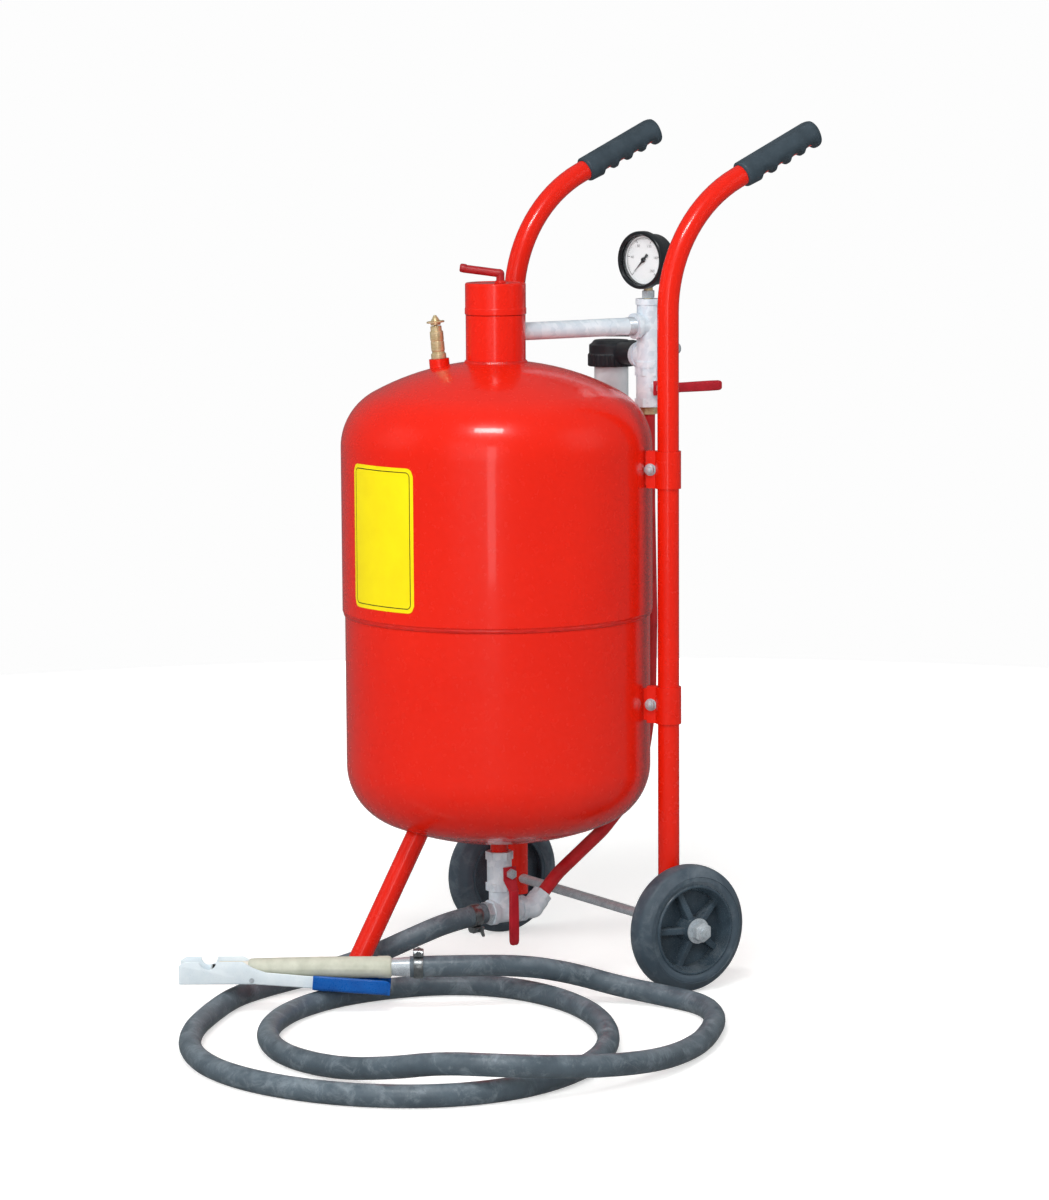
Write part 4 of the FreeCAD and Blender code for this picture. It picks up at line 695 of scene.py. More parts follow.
@dataclass
class Studio:
    """Camera, soft lights and a pale floor."""

    azimuth: float = 56.98
    pitch: float = 7.52
    roll: float = -0.35
    distance: float = 4.815
    lens: float = 121.0
    aside: float = 0.0322
    aim_height: float = 0.4553
    floor_colour: str = "#D9D9D7"
    floor_radius: float = 2600.0
    floor_glow: float = 0.5
    wall_light: float = 0.16
    ceiling_light: float = 0.22

    def build(self, axis_back: float) -> None:
        """Make the camera, the lights and the floor.

        Args:
            axis_back: where the tank's axis is along Y, in millimetres.
        """
        turn = math.radians(self.azimuth)
        pitch = math.radians(self.pitch)
        right = Vector((math.cos(turn), math.sin(turn), 0))
        back = Vector((math.sin(turn) * math.cos(pitch), -math.cos(turn) * math.cos(pitch), math.sin(pitch)))
        target = Vector((0, axis_back * MM, self.aim_height)) + right * self.aside
        self.camera(target, back)
        self.lights(target, turn)
        self.floor()

    def camera(self, target: Vector, back: Vector) -> None:
        """Place the camera and point it at the target."""
        data = bpy.data.cameras.new("studio_camera")
        data.lens = self.lens
        data.sensor_width = 36.0
        data.clip_end = 50.0
        eye = bpy.data.objects.new("studio_camera", data)
        bpy.context.scene.collection.objects.link(eye)
        eye.rotation_mode = "QUATERNION"
        look = (-back).to_track_quat("-Z", "Y")
        spin = Matrix.Rotation(math.radians(self.roll), 4, "Z").to_quaternion()
        eye.rotation_quaternion = look @ spin
        eye.location = target + back * self.distance
        bpy.context.scene.camera = eye

    def lights(self, target: Vector, turn: float) -> None:
        """Place the softboxes round the object and light the room softly."""
        softboxes = (
            # name, bearing from the camera's, elevation, distance, width, height, power, seen in reflections
            ("key_softbox", -7.0, 50.0, 2.8, 0.85, 0.36, 26.0, True),
            ("front_fill", -15.0, 14.0, 3.4, 2.0, 2.0, 58.0, False),
            ("left_fill", -80.0, 25.0, 3.2, 1.6, 1.6, 34.0, False),
            ("strip_light", -4.0, 8.0, 3.0, 0.30, 1.5, 3.4, True),
            ("right_fill", 70.0, 25.0, 3.2, 1.6, 1.6, 30.0, False),
            ("top_fill", 180.0, 75.0, 2.8, 2.2, 2.2, 12.0, False),
        )
        for name, bearing, elevation, distance, width, height, power, mirrored in softboxes:
            data = bpy.data.lights.new(name, "AREA")
            data.shape = "RECTANGLE"
            data.size = width
            data.size_y = height
            data.energy = power
            lamp = bpy.data.objects.new(name, data)
            lamp.visible_glossy = mirrored
            bpy.context.scene.collection.objects.link(lamp)
            around = turn + math.radians(bearing)
            rise = math.radians(elevation)
            way = Vector((math.sin(around) * math.cos(rise), -math.cos(around) * math.cos(rise),
                          math.sin(rise)))
            lamp.location = target + way * distance
            lamp.rotation_mode = "QUATERNION"
            lamp.rotation_quaternion = (-way).to_track_quat("-Z", "Y")
        self.room()
        bpy.context.scene.view_settings.view_transform = "Standard"

    def room(self) -> None:
        """A dim room whose ceiling is brighter than its walls, in front of a white backdrop."""
        world = bpy.data.worlds.new("studio_room")
        world.use_nodes = True
        tree = world.node_tree
        tree.nodes.clear()
        height = add(tree, "ShaderNodeSeparateXYZ", inputs={
            0: add(tree, "ShaderNodeTexCoord").outputs["Generated"]}).outputs["Z"]
        light = add(tree, "ShaderNodeMapRange", inputs={
            "Value": height, "From Min": 0.0, "From Max": 0.8, "To Min": self.wall_light,
            "To Max": self.ceiling_light}).outputs[0]
        room = add(tree, "ShaderNodeBackground", inputs={"Color": linear("#F7FAFD"), "Strength": light})
        backdrop = add(tree, "ShaderNodeBackground", inputs={"Color": linear("#FDFDFD"), "Strength": 1.0})
        seen = add(tree, "ShaderNodeLightPath").outputs["Is Camera Ray"]
        mixed = add(tree, "ShaderNodeMixShader", inputs={0: seen, 1: room.outputs[0], 2: backdrop.outputs[0]})
        add(tree, "ShaderNodeOutputWorld", inputs={"Surface": mixed.outputs[0]})
        bpy.context.scene.world = world

    def floor(self) -> None:
        """Lay a round pale floor under the object, which glows a little so that it ends in white."""
        disc = [(0.0, -0.3), (self.floor_radius, -0.3)]
        sheet = turned("studio_floor", disc, Matrix.Identity(4), closed=False)
        paper = bpy.data.materials.new("matt_pale_floor")
        paper.use_nodes = True
        tree = paper.node_tree
        tree.nodes.clear()
        place = add(tree, "ShaderNodeTexCoord").outputs["Object"]
        reach = add(tree, "ShaderNodeVectorMath", {"operation": "LENGTH"}, {0: place}).outputs["Value"]
        glow = add(tree, "ShaderNodeMapRange", inputs={
            "Value": reach, "From Min": 0.6, "From Max": self.floor_radius * MM, "To Min": self.floor_glow,
            "To Max": 1.0}).outputs[0]
        seen = add(tree, "ShaderNodeLightPath").outputs["Is Camera Ray"]
        only_seen = add(tree, "ShaderNodeMath", {"operation": "MULTIPLY"}, {0: glow, 1: seen}).outputs[0]
        matt = add(tree, "ShaderNodeBsdfDiffuse", inputs={"Color": linear(self.floor_colour),
                                                          "Roughness": 0.5})
        light = add(tree, "ShaderNodeEmission", inputs={"Color": linear("#FFFFFF"), "Strength": only_seen})
        both = add(tree, "ShaderNodeAddShader", inputs={0: matt.outputs[0], 1: light.outputs[0]})
        add(tree, "ShaderNodeOutputMaterial", inputs={"Surface": both.outputs[0]})
        sheet.data.materials.append(paper)
        sheet.visible_glossy = False


# ---------------------------------------------------------------- hoses and nozzle

@dataclass
class HoseClamp:
    """Worm-drive clamp: slotted band, housing and screw with a slotted head."""

    hose_radius: float = 12.5
    band_width: float = 11.0
    wing: bool = False

    def build(self, name: str, place: Matrix, body: str, node: str) -> bpy.types.Object:
        """Make the clamp round the place's Z, with its housing towards the place's X.

        Args:
            name: the piece's name.
            place: middle of the band.
            body: the body that it rides on.
            node: the CAD node that it stands for.

        Returns:
            The whole clamp as one piece.
        """
        inner = self.hose_radius - 0.2
        outer = self.hose_radius + 1.1
        half = self.band_width / 2
        ring = rounded([(inner, -half, 0.3), (outer, -half, 0.5), (outer, half, 0.5), (inner, half, 0.3)], 3)

        def slotted(radius: float, height: float, angle: float) -> tuple[float, float]:
            """Press the worm's slots into the band."""
            in_groove = radius > outer - 0.1 and abs(height) < half - 3
            groove = 0.35 * max(0.0, math.sin(angle * 36)) if in_groove else 0
            return radius - groove, height

        parts = [turned(f"{name}_band", ring, place, steps=216, shape=slotted)]
        saddle = rounded([(outer - 0.4, -8, 0.5), (outer + 3.5, -7.5, 1.5), (outer + 7.2, -5.0, 2.2),
                          (outer + 7.2, 5.0, 2.2), (outer + 3.5, 7.5, 1.5), (outer - 0.4, 8, 0.5)])
        parts.append(pressed(f"{name}_saddle", saddle, self.band_width + 1,
                             place @ Matrix.Translation((0, 0, -half - 0.5)), 0.6))
        axis = place @ Matrix.Translation((outer + 3.2, 0, 0)) @ Matrix.Rotation(math.radians(-90), 4, "X")
        thread = [(0.0, -10.0), (2.6, -10.0)]
        turns = 9
        for number in range(turns):
            thread += [(3.1, -9.5 + number * 2.0), (2.5, -8.5 + number * 2.0)]
        thread += [(2.6, 9.5), (0.0, 9.5)]
        parts.append(turned(f"{name}_screw", thread, axis, closed=False, steps=32))
        head_at = axis @ Matrix.Translation((0, 0, 9.0))
        if self.wing:
            wing = rounded([(-1.2, 0, 0.3), (1.2, 0, 0.3), (2.0, 3, 1), (6.5, 6.5, 2.2), (6.0, 11.5, 2.2),
                            (0, 8.5, 2), (-6.0, 11.5, 2.2), (-6.5, 6.5, 2.2), (-2.0, 3, 1)])
            standing = head_at @ Matrix.Rotation(math.radians(90), 4, "X") @ Matrix.Translation((0, 0, -1.1))
            parts.append(pressed(f"{name}_wing", wing, 2.2, standing, 0.7))
        else:
            parts.append(pressed(f"{name}_head", six_sided(7.0), 4.2, head_at, 0.5))
        whole = joined(name, parts)
        return fit(whole, Finishes.BAND, body, node)


@dataclass
class Hoses:
    """The free blast hose with its clamps, and the red air hose."""

    blast_radius: float = 12.5
    blast_length: float = 3.34
    # Centre line of the blast hose: across, behind the tank axis, up. It leaves the tee's barb, passes
    # the leg, makes a wide turn on the floor and a smaller one that crosses it twice, and ends on the
    # nozzle.
    blast_route: tuple[tuple[float, float, float], ...] = (
        (0, -22, 77), (0, -66, 74), (-12, -112, 58), (-38, -156, 35), (-60, -212, 18), (-60, -278, 12.6),
        (-30, -348, 12.6), (28, -412, 12.6), (92, -472, 12.6), (170, -518, 12.6), (258, -538, 12.6),
        (350, -524, 12.6), (440, -474, 12.6), (500, -398, 12.6), (518, -315, 12.6), (500, -235, 12.6),
        (455, -160, 12.6), (378, -95, 12.6), (285, -52, 12.6), (190, -40, 12.6), (105, -62, 12.6),
        (54, -115, 12.6), (36, -188, 12.6), (40, -262, 12.6), (77, -343, 12.6), (150, -412, 12.6),
        (245, -445, 12.6), (338, -430, 14), (415, -406, 27), (483, -386, 44), (532, -341, 45),
        (554, -278, 39),
        (549, -202, 29), (518, -118, 18), (470, -42, 12.6), (425, 8, 12.6), (372, 54, 12.6), (312, 78, 12.6),
        (252, 66, 12.6), (205, 34, 19), (176, -14, 36), (160, -70, 49), (135.9, -139.7, 53),
        (103.2, -190, 52),
    )

    def build(self, frame: dict, axis: Vector, on_hose: Sequence[bpy.types.Object]) -> None:
        """Lay the hoses.

        Args:
            frame: the loaded frame.
            axis: the tank's axis on the floor.
            on_hose: the nozzle's pieces. Not used.
        """
        points = [axis + Vector(place) for place in self.blast_route]
        hose = curve_piece("blast_hose_line", points, self.blast_radius, smooth=True)
        fit(hose, Finishes.BLAST_HOSE, "blaster", "blast_hose")
        leaving = (points[1] - points[0]).normalized()
        tee_clamp = HoseClamp(self.blast_radius, wing=True)
        tee_clamp.build("tee_clamp", seat(points[0] + leaving * 14, leaving, -UP), "blaster",
                        "tee_hose_clamp")
        dress_node(frame, "air_hose", Finishes.AIR_HOSE)


@dataclass
class Nozzle:
    """Cast hand nozzle with its ceramic tip, channel lever, blue grip, spring and pad."""

    heading: float = 237.0
    half: float = 83.0
    radius: float = 13.0
    channel_half: float = 15.5
    channel_floor: float = -16.0
    channel_reach: float = 80.0
    steel: float = 2.0
    slope: float = 4.5
    pin_x: float = 78.0
    pin_drop: float = 11.6
    grip_length: float = 90.0
    shank: float = 22.0

    def build(self, frame: dict) -> list[bpy.types.Object]:
        """Build every piece of the nozzle.

        Args:
            frame: the loaded frame.

        Returns:
            The pieces that lie on the hose's end.
        """
        turn = math.radians(self.heading)
        self.way = Vector((math.cos(turn), math.sin(turn), 0))
        centre = middle_of("nozzle_body") - self.way * 1.0
        self.place = Matrix.Translation(centre) @ Matrix.Rotation(turn, 4, "Z")
        pieces = [self.casting(), self.tip(), self.lever(), self.grip(), self.clamp(), self.spring_coil()]
        for node, finish in (("nozzle_barb", Finishes.PLATED), ("nozzle_pivot_pin", Finishes.PLATED),
                             ("nozzle_seal_pad", Finishes.GASKET)):
            dress_node(frame, node, finish)
            pieces.append(frame["nodes"][node])
        return pieces

    def along(self, x: float, y: float = 0.0, z: float = 0.0) -> Matrix:
        """A place on the nozzle whose Z points along the blast and whose X points up."""
        return self.place @ seat(Vector((x, y, z)), ACROSS, UP)

    def casting(self) -> bpy.types.Object:
        """The body: a tapered casting with a parting line, a rear collar and a flat nose."""
        stations = ((-83, 10.6), (-81.5, 12.4), (-79, 13.0), (-68, 13.0), (-66, 12.4), (-40, 12.6), (0, 12.4),
                    (40, 11.8), (62, 11.4), (72, 11.2), (80, 10.8), (82, 9.8), (83, 8.6))
        sides = 64
        rings = []
        for x, radius in stations:
            ring = []
            for side in range(sides):
                angle = 2 * math.pi * side / sides
                line = 0.3 * math.exp(-(math.sin(angle) / 0.09) ** 2) if abs(x) < 76 else 0.0
                flat = 0.6 * max(0.0, math.cos(2 * angle)) if -60 < x < 70 else 0.0
                reach = radius + line - flat * 0.3
                ring.append(Vector((x, reach * math.cos(angle), reach * math.sin(angle))))
            rings.append(ring)
        return fit(lofted("nozzle_casting", rings, self.place), Finishes.CAST, "blaster", "nozzle_body")

    def tip(self) -> bpy.types.Object:
        """The ceramic tip, with its bore open at the mouth."""
        start, end = self.half - 6, self.half + 35
        outline = rounded([(3.5, start), (8.0, start), (8.0, end, 1.8), (3.5, end, 0.6)])
        return fit(turned("ceramic_tip", outline, self.along(0)), Finishes.CERAMIC, "blaster", "nozzle_tip")

    def sloped(self) -> Matrix:
        """The place of the lever's rear part, which slopes down from the pivot pin."""
        pin = Matrix.Translation((self.pin_x, 0, -self.pin_drop))
        return self.place @ pin @ Matrix.Rotation(math.radians(-self.slope), 4, "Y") @ pin.inverted()

    def lever(self) -> bpy.types.Object:
        """The pressed channel: two sides with a notch near the nose, a floor and the pad's wall."""
        floor = self.channel_floor
        nose = self.half + self.channel_reach
        fall = math.tan(math.radians(self.slope))
        rear = self.pin_x - 145
        drop = (self.pin_x - rear) * fall
        notch_x, notch_r = nose - 34, 9.5
        notch = [(notch_x + notch_r * math.cos(math.radians(angle)),
                  10.4 - notch_r * math.sin(math.radians(angle)))
                 for angle in range(0, 181, 15)]
        side = rounded([(rear, floor - drop, 2.0), (self.pin_x - 6, floor, 0), (nose, floor, 2.0),
                        (nose, 6.0, 2.5),
                        (nose - 7, 10.4, 4.5), (nose - 19, 10.4, 2.0)])
        side += notch + rounded([(notch_x - notch_r - 3, 10.4), (self.half + 6, 10.4, 4.0),
                                 (self.half - 6, 3.0, 5.0), (self.pin_x - 16, -2.5, 8.0),
                                 (rear, floor - drop + 13, 4.0)], closed=False)
        parts = []
        for hand in (-1, 1):
            at = hand * (self.channel_half - self.steel / 2) + self.steel / 2
            wall = self.place @ Matrix.Translation((0, at, 0)) @ Matrix.Rotation(math.radians(90), 4, "X")
            parts.append(pressed(f"lever_side_{hand}", side, self.steel, wall, 0.5))
        half = self.channel_half
        bottom = [(self.pin_x - 8, -half), (nose, -half), (nose, half), (self.pin_x - 8, half)]
        front_floor = self.place @ Matrix.Translation((0, 0, floor))
        parts.append(pressed("lever_floor", bottom, self.steel, front_floor, 0.7))
        tail = [(rear, -half), (self.pin_x - 4, -half), (self.pin_x - 4, half), (rear, half)]
        parts.append(pressed("lever_tail", tail, self.steel,
                             self.sloped() @ Matrix.Translation((0, 0, floor)), 0.7))
        wall = [(-half + 1, floor + 1), (half - 1, floor + 1), (half - 1, 2), (-half + 1, 2)]
        pad_place = self.place @ seat(Vector((self.half + 35 + 7 - self.steel / 2 + 0.9, 0, 0)), ACROSS, BACK)
        parts.append(pressed("lever_pad_wall", wall, self.steel, pad_place, 0.4))
        return fit(joined("channel_lever", parts), Finishes.ZINC_PRESSING, "nozzle_trigger", "nozzle_lever")

    def grip(self) -> bpy.types.Object:
        """The blue vinyl dip round the lever's rear part, with a full rounded end."""
        half = self.channel_half + 2.3
        low = self.channel_floor - 2.4
        high = self.channel_floor + 15.2
        inner = self.channel_half - self.steel - 0.05
        floor = low + 4.6
        middle_z = (low + high) / 2
        rear = self.pin_x - 75 - 40 - self.grip_length / 2
        front = rear + self.grip_length
        section = rounded([(-half, high, 1.6), (-half, low, 4.5), (half, low, 4.5), (half, high, 1.6),
                           (inner, high, 0.8), (inner, floor, 1.2), (-inner, floor, 1.2),
                           (-inner, high, 0.8)], 6)

        def shrunk(across: float, up: float, share: float) -> tuple[float, float]:
            """A point of the section, drawn in by a share, but never into the channel's inside."""
            if abs(across) > inner:
                wide = max(abs(across) * share, inner + 0.4)
                return math.copysign(wide, across), middle_z + (up - middle_z) * share
            return across, up if up < middle_z else middle_z + (up - middle_z) * share

        stations = [(front, 0.965), (front - 0.8, 0.99), (front - 2.0, 1.0)]
        stations += [(front - 8.0 * number, 1.0 + 0.012 * math.sin(number * 1.4)) for number in range(1, 9)]
        stations += [(rear + 8.0, 0.98), (rear + 4.5, 0.9), (rear + 2.0, 0.78), (rear + 0.3, 0.6)]
        rings = []
        for x, share in stations:
            rings.append([Vector((x, *shrunk(across, up, share))) for across, up in section])
        sleeve = lofted("blue_grip", rings, self.sloped())
        return fit(sleeve, Finishes.BLUE_VINYL, "nozzle_trigger", "nozzle_lever_grip")

    def clamp(self) -> bpy.types.Object:
        """The clamp on the hose behind the shank, its screw on top."""
        place = self.along(-(self.half + self.shank + 9))
        return HoseClamp(12.5).build("nozzle_clamp", place, "blaster", "nozzle_hose_clamp")

    def spring_coil(self) -> bpy.types.Object:
        """The short return spring between the casting and the lever."""
        turns, wire, radius, height = 3, 0.55, 3.7, 4.2
        steps = turns * 16
        points = []
        for step in range(steps + 1):
            angle = 2 * math.pi * turns * step / steps
            points.append(self.place @ Vector((22 + radius * math.cos(angle), radius * math.sin(angle),
                                               -self.radius - 0.4 - height * step / steps)))
        coil = meshed(curve_piece("lever_spring_coil", points, wire, smooth=False))
        fit(coil, Finishes.SPRING, "blaster", "nozzle_spring")
        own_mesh(coil)
        return coil


# ---------------------------------------------------------------- tank

@dataclass
class WeldBead:
    """A rippled weld round an axis."""

    radius: float
    height: float
    width: float = 5.0
    proud: float = 1.6
    ripple: float = 2.6

    def build(self, name: str, place: Matrix, body: str,
              follow: Optional[Callable[[float, float], float]] = None) -> bpy.types.Object:
        """Lay the bead round the place's Z.

        Args:
            name: the piece's name.
            place: where the bead goes.
            body: the body that it rides on.
            follow: the height of the surface at a radius and an angle, if it isn't level.

        Returns:
            The bead.
        """
        around = max(24, int(2 * math.pi * self.radius / self.ripple))
        half = self.width / 2
        section = [(-half, -0.6), (-half * 0.7, self.proud * 0.55), (0.0, self.proud),
                   (half * 0.7, self.proud * 0.55),
                   (half, -0.6)]
        outline = [(self.radius + out, self.height + along) for along, out in section]

        def rippled(radius: float, height: float, angle: float) -> tuple[float, float]:
            """Raise each puddle of the weld a little."""
            share = max(0.0, radius - self.radius) / self.proud
            wave = 0.22 * math.sin(angle * around) + 0.12 * math.sin(angle * 7 + 1.3)
            lifted = follow(radius, angle) if follow is not None else 0.0
            return radius + wave * share, height + lifted

        bead = turned(name, outline, place, closed=False, steps=min(480, around * 4), shape=rippled)
        return fit(bead, Finishes.ENAMEL_WELD, body)


@dataclass
class Tank:
    """Pressed shells, filler neck, screw cap with its bent handle, label and welds."""

    radius: float = 185.0
    seam: float = 446.0
    cap_radius: float = 36.5
    cap_edge: float = 2.2
    label_left: float = -96.5
    label_right: float = -64.0
    label_corner: float = 9.0
    label_film: float = 0.3

    def build(self, frame: dict, axis: Vector) -> None:
        """Dress the tank and build its cap, label and welds."""
        for node in ("lower_tank_shell", "upper_tank_shell", "filler_neck"):
            dress_node(frame, node, Finishes.ENAMEL)
        dress_node(frame, "cap_gasket", Finishes.GASKET)
        self.welds(axis)
        self.cap(axis)
        self.handle(axis)
        self.label(axis)

    def welds(self, axis: Vector) -> None:
        """The seam's weld, the neck's and the outlet's."""
        place = seat(axis)
        WeldBead(182.6, self.seam - 3.0, 6.0, 1.5).build("seam_weld", place, "blaster")
        neck = WeldBead(35.4, 739.5, 7.0, 2.4)
        neck.build("neck_weld", place, "blaster")
        WeldBead(10.8, 166.0, 5.0, 2.0).build("outlet_weld", place, "blaster")

    def cap(self, axis: Vector) -> None:
        """The screw cap, hollow over the gasket, with a rolled lower edge."""
        low = low_of("filler_cap").z
        high = high_of("filler_cap").z
        inner = 30.5
        roof = high_of("cap_gasket").z + 0.3
        outline = rounded([(inner, low, 0.4), (self.cap_radius, low, 1.0), (self.cap_radius, low + 7, 0.4),
                           (self.cap_radius - 0.5, low + 8.2, 0.4),
                           (self.cap_radius - 0.5, high, self.cap_edge),
                           (self.cap_radius - 7.0, high, 0.6), (self.cap_radius - 8.2, high - 0.7, 0.6),
                           (0.0, high - 0.7), (0.0, roof), (inner, roof, 0.5)])
        shell = turned("screw_cap", outline, seat(axis))
        fit(shell, Finishes.ENAMEL, "cap", "filler_cap")

    def handle(self, axis: Vector) -> None:
        """The bent rod on the cap, its arm dipped in vinyl whose colour is darkened with painted shade."""
        turn = math.radians(237)
        out = Vector((math.cos(turn), math.sin(turn), 0))
        top = high_of("filler_cap").z
        foot = Vector((axis.x, axis.y, top)) - out * 6
        knee = foot + UP * 8.5
        rise = foot + UP * 11 + out * 3.4
        tip = foot + out * 46 + UP * 16.6
        rod = curve_piece("cap_handle_rod", [foot - UP * 2, foot + UP * 3, knee, foot + UP * 11, rise,
                                             foot + out * 20 + UP * 13.4, tip - out * 2], 4.9, smooth=True)
        fit(rod, Finishes.VINYL_WITH_PAINTED_SHADE, "cap", "cap_handle")
        knob = turned("cap_handle_end", rounded([(0, 0), (5.2, 0, 1.2), (5.2, 8.0, 2.6), (0, 8.0)],
                                                closed=False),
                      seat(tip - out * 6, out + UP * 0.14), closed=False, steps=40)
        fit(knob, Finishes.VINYL_WITH_PAINTED_SHADE, "cap")
        collar = turned("cap_handle_weld", rounded([(4.2, -1.0), (8.0, -1.0, 1.0), (5.2, 2.6, 1.2),
                                                    (4.2, 2.6)], 4),
                        seat(foot), steps=48)
        fit(collar, Finishes.ENAMEL_WELD, "cap")

    def label(self, axis: Vector) -> None:
        """A blank yellow label with rounded corners and a thin border, bent round the tank."""
        low = low_of("tank_label").z
        high = high_of("tank_label").z
        left = math.radians(self.label_left) * self.radius
        right = math.radians(self.label_right) * self.radius
        self.film("label_film", axis, left, right, low, high, self.label_corner, 0.25, Finishes.LABEL,
                  ("tank_label",))
        self.border(axis, left + 4.5, right - 4.5, low + 4.5, high - 4.5)

    def film(self, name: str, axis: Vector, left: float, right: float, low: float, high: float, corner: float,
             lift: float, finish: Finish, nodes: tuple[str, ...]) -> None:
        """A filled sheet on the tank wall, from left to right along the wall and from low to high."""
        columns = 36
        rows = 12
        points = []
        for column in range(columns + 1):
            share = column / columns
            run = left + (right - left) * share
            near = min(run - left, right - run)
            cut = corner - math.sqrt(max(0.0, corner ** 2 - (corner - near) ** 2)) if near < corner else 0.0
            for row in range(rows + 1):
                height = low + cut + (high - low - 2 * cut) * row / rows
                angle = run / self.radius
                reach = self.radius + lift
                points.append(Vector((reach * math.cos(angle), reach * math.sin(angle), height)))
        faces = []
        for column in range(columns):
            for row in range(rows):
                start = column * (rows + 1) + row
                faces.append((start, start + rows + 1, start + rows + 2, start + 1))
        fit(mesh_piece(name, points, faces, seat(axis)), finish, "blaster", *nodes)

    def border(self, axis: Vector, left: float, right: float, low: float, high: float) -> None:
        """A thin printed line inside the label's edge."""
        line = 1.1
        corner = 6.0
        outer = rounded([(left, low, corner), (right, low, corner), (right, high, corner),
                         (left, high, corner)], 8)
        inset = corner - line
        inner = rounded([(left + line, low + line, inset), (right - line, low + line, inset),
                         (right - line, high - line, inset), (left + line, high - line, inset)], 8)
        dense_outer, dense_inner = self.dense(outer), self.dense(inner)
        count = min(len(dense_outer), len(dense_inner))
        reach = self.radius + self.label_film + 0.05
        points = []
        for run, height in dense_outer[:count] + dense_inner[:count]:
            angle = run / self.radius
            points.append(Vector((reach * math.cos(angle), reach * math.sin(angle), height)))
        faces = [(number, (number + 1) % count, count + (number + 1) % count, count + number)
                 for number in range(count)]
        fit(mesh_piece("label_border", points, faces, seat(axis)), Finishes.LABEL_INK, "blaster")

    def dense(self, outline: Outline) -> Outline:
        """Give each straight run of an outline eight points, so that it can bend round the tank."""
        points: Outline = []
        for (x, y), (next_x, next_y) in zip(outline, outline[1:] + outline[:1]):
            parts = 8 if math.hypot(next_x - x, next_y - y) > 8 else 1
            points += [(x + (next_x - x) * part / parts,
                        y + (next_y - y) * part / parts) for part in range(parts)]
        return points


# ---------------------------------------------------------------- safety valve

@dataclass
class SafetyValve:
    """Turned brass pop valve with its cone knob, ring and spring."""

    x: float = -40.0
    forward: float = 53.0
    height: float = 730.0
    lean: float = 5.0
    boss: float = 14.0
    radius: float = 8.0
    length: float = 39.0

    def build(self, axis: Vector) -> None:
        """Build the valve on its boss."""
        away = Vector((self.x, -self.forward, 0)).normalized()
        up = UP * math.cos(math.radians(self.lean)) + away * math.sin(math.radians(self.lean))
        root = axis + Vector((self.x, -self.forward, self.height))
        place = seat(root, up, ACROSS)
        low = self.boss
        top = low + self.length
        body = rounded([(4.0, low - 12), (6.0, low - 12), (6.0, low), (9.0, low, 0.8), (9.0, low + 6, 0.8),
                        (7.4, low + 7.2, 0.6), (7.4, low + 9, 0.4), (8.0, low + 10, 0.4),
                        (8.0, low + 20, 0.4),
                        (7.5, low + 20.6, 0.2), (7.5, low + 21.4, 0.2), (8.0, low + 22, 0.4),
                        (8.0, top - 7, 0.6), (6.6, top - 5.5, 0.4),
                        (6.6, top, 0.8),
                        (2.4, top, 0.3), (2.4, top - 3), (5.8, top - 3, 0.4), (5.8, low + 8, 0.4),
                        (4.0, low + 8)], 4)
        fit(turned("relief_body", body, place, steps=72), Finishes.BRASS, "blaster", "safety_valve_body")
        disc = low + 8.2
        knob = rounded([(0, disc), (4.9, disc, 0.4), (4.9, disc + 3.3, 0.4), (2.1, disc + 3.6, 0.3),
                        (2.1, top + 0.9), (6.0, top + 0.9, 0.8), (6.0, top + 3.2, 0.6), (4.9, top + 4.0, 0.3),
                        (4.9, top + 5.6, 0.3), (5.4, top + 6.2, 0.4), (1.5, top + 12.8, 1.0),
                        (0, top + 12.8)], 4,
                       closed=False)
        stem = turned("relief_stem", knob, place, closed=False, steps=56)
        fit(stem, Finishes.BRASS, "relief_stem", "safety_valve_stem")
        ring_points = [place @ Vector((9.6 * math.cos(math.radians(angle)),
                                       9.6 * math.sin(math.radians(angle)),
                                       top + 4.7)) for angle in range(0, 361, 10)]
        ring = curve_piece("relief_pull_ring", ring_points, 1.15, smooth=False)
        fit(ring, Finishes.BRASS, "relief_stem")
        bar_points = [place @ Vector((reach, 0, top + 4.7)) for reach in (-9.8, 9.8)]
        fit(curve_piece("relief_pull_bar", bar_points, 1.1, smooth=False), Finishes.BRASS, "relief_stem")
        self.coil(place, low + 12.2, top - 6.2)
        boss_weld = WeldBead(12.0, 1.5, 5.0, 2.2, ripple=2.2)
        boss_weld.build("boss_weld", seat(root, up + away * 0.28), "blaster")

    def coil(self, place: Matrix, low: float, high: float) -> None:
        """The closed spring that holds the disc down."""
        turns, radius = 6, 4.5
        steps = turns * 20
        points = [place @ Vector((radius * math.cos(2 * math.pi * turns * step / steps),
                                  radius * math.sin(2 * math.pi * turns * step / steps),
                                  low + (high - low) * step / steps)) for step in range(steps + 1)]
        coil = meshed(curve_piece("relief_spring_coil", points, 0.6, smooth=False))
        fit(coil, Finishes.SPRING, "blaster", "safety_valve_spring")
        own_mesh(coil)


# ---------------------------------------------------------------- air manifold

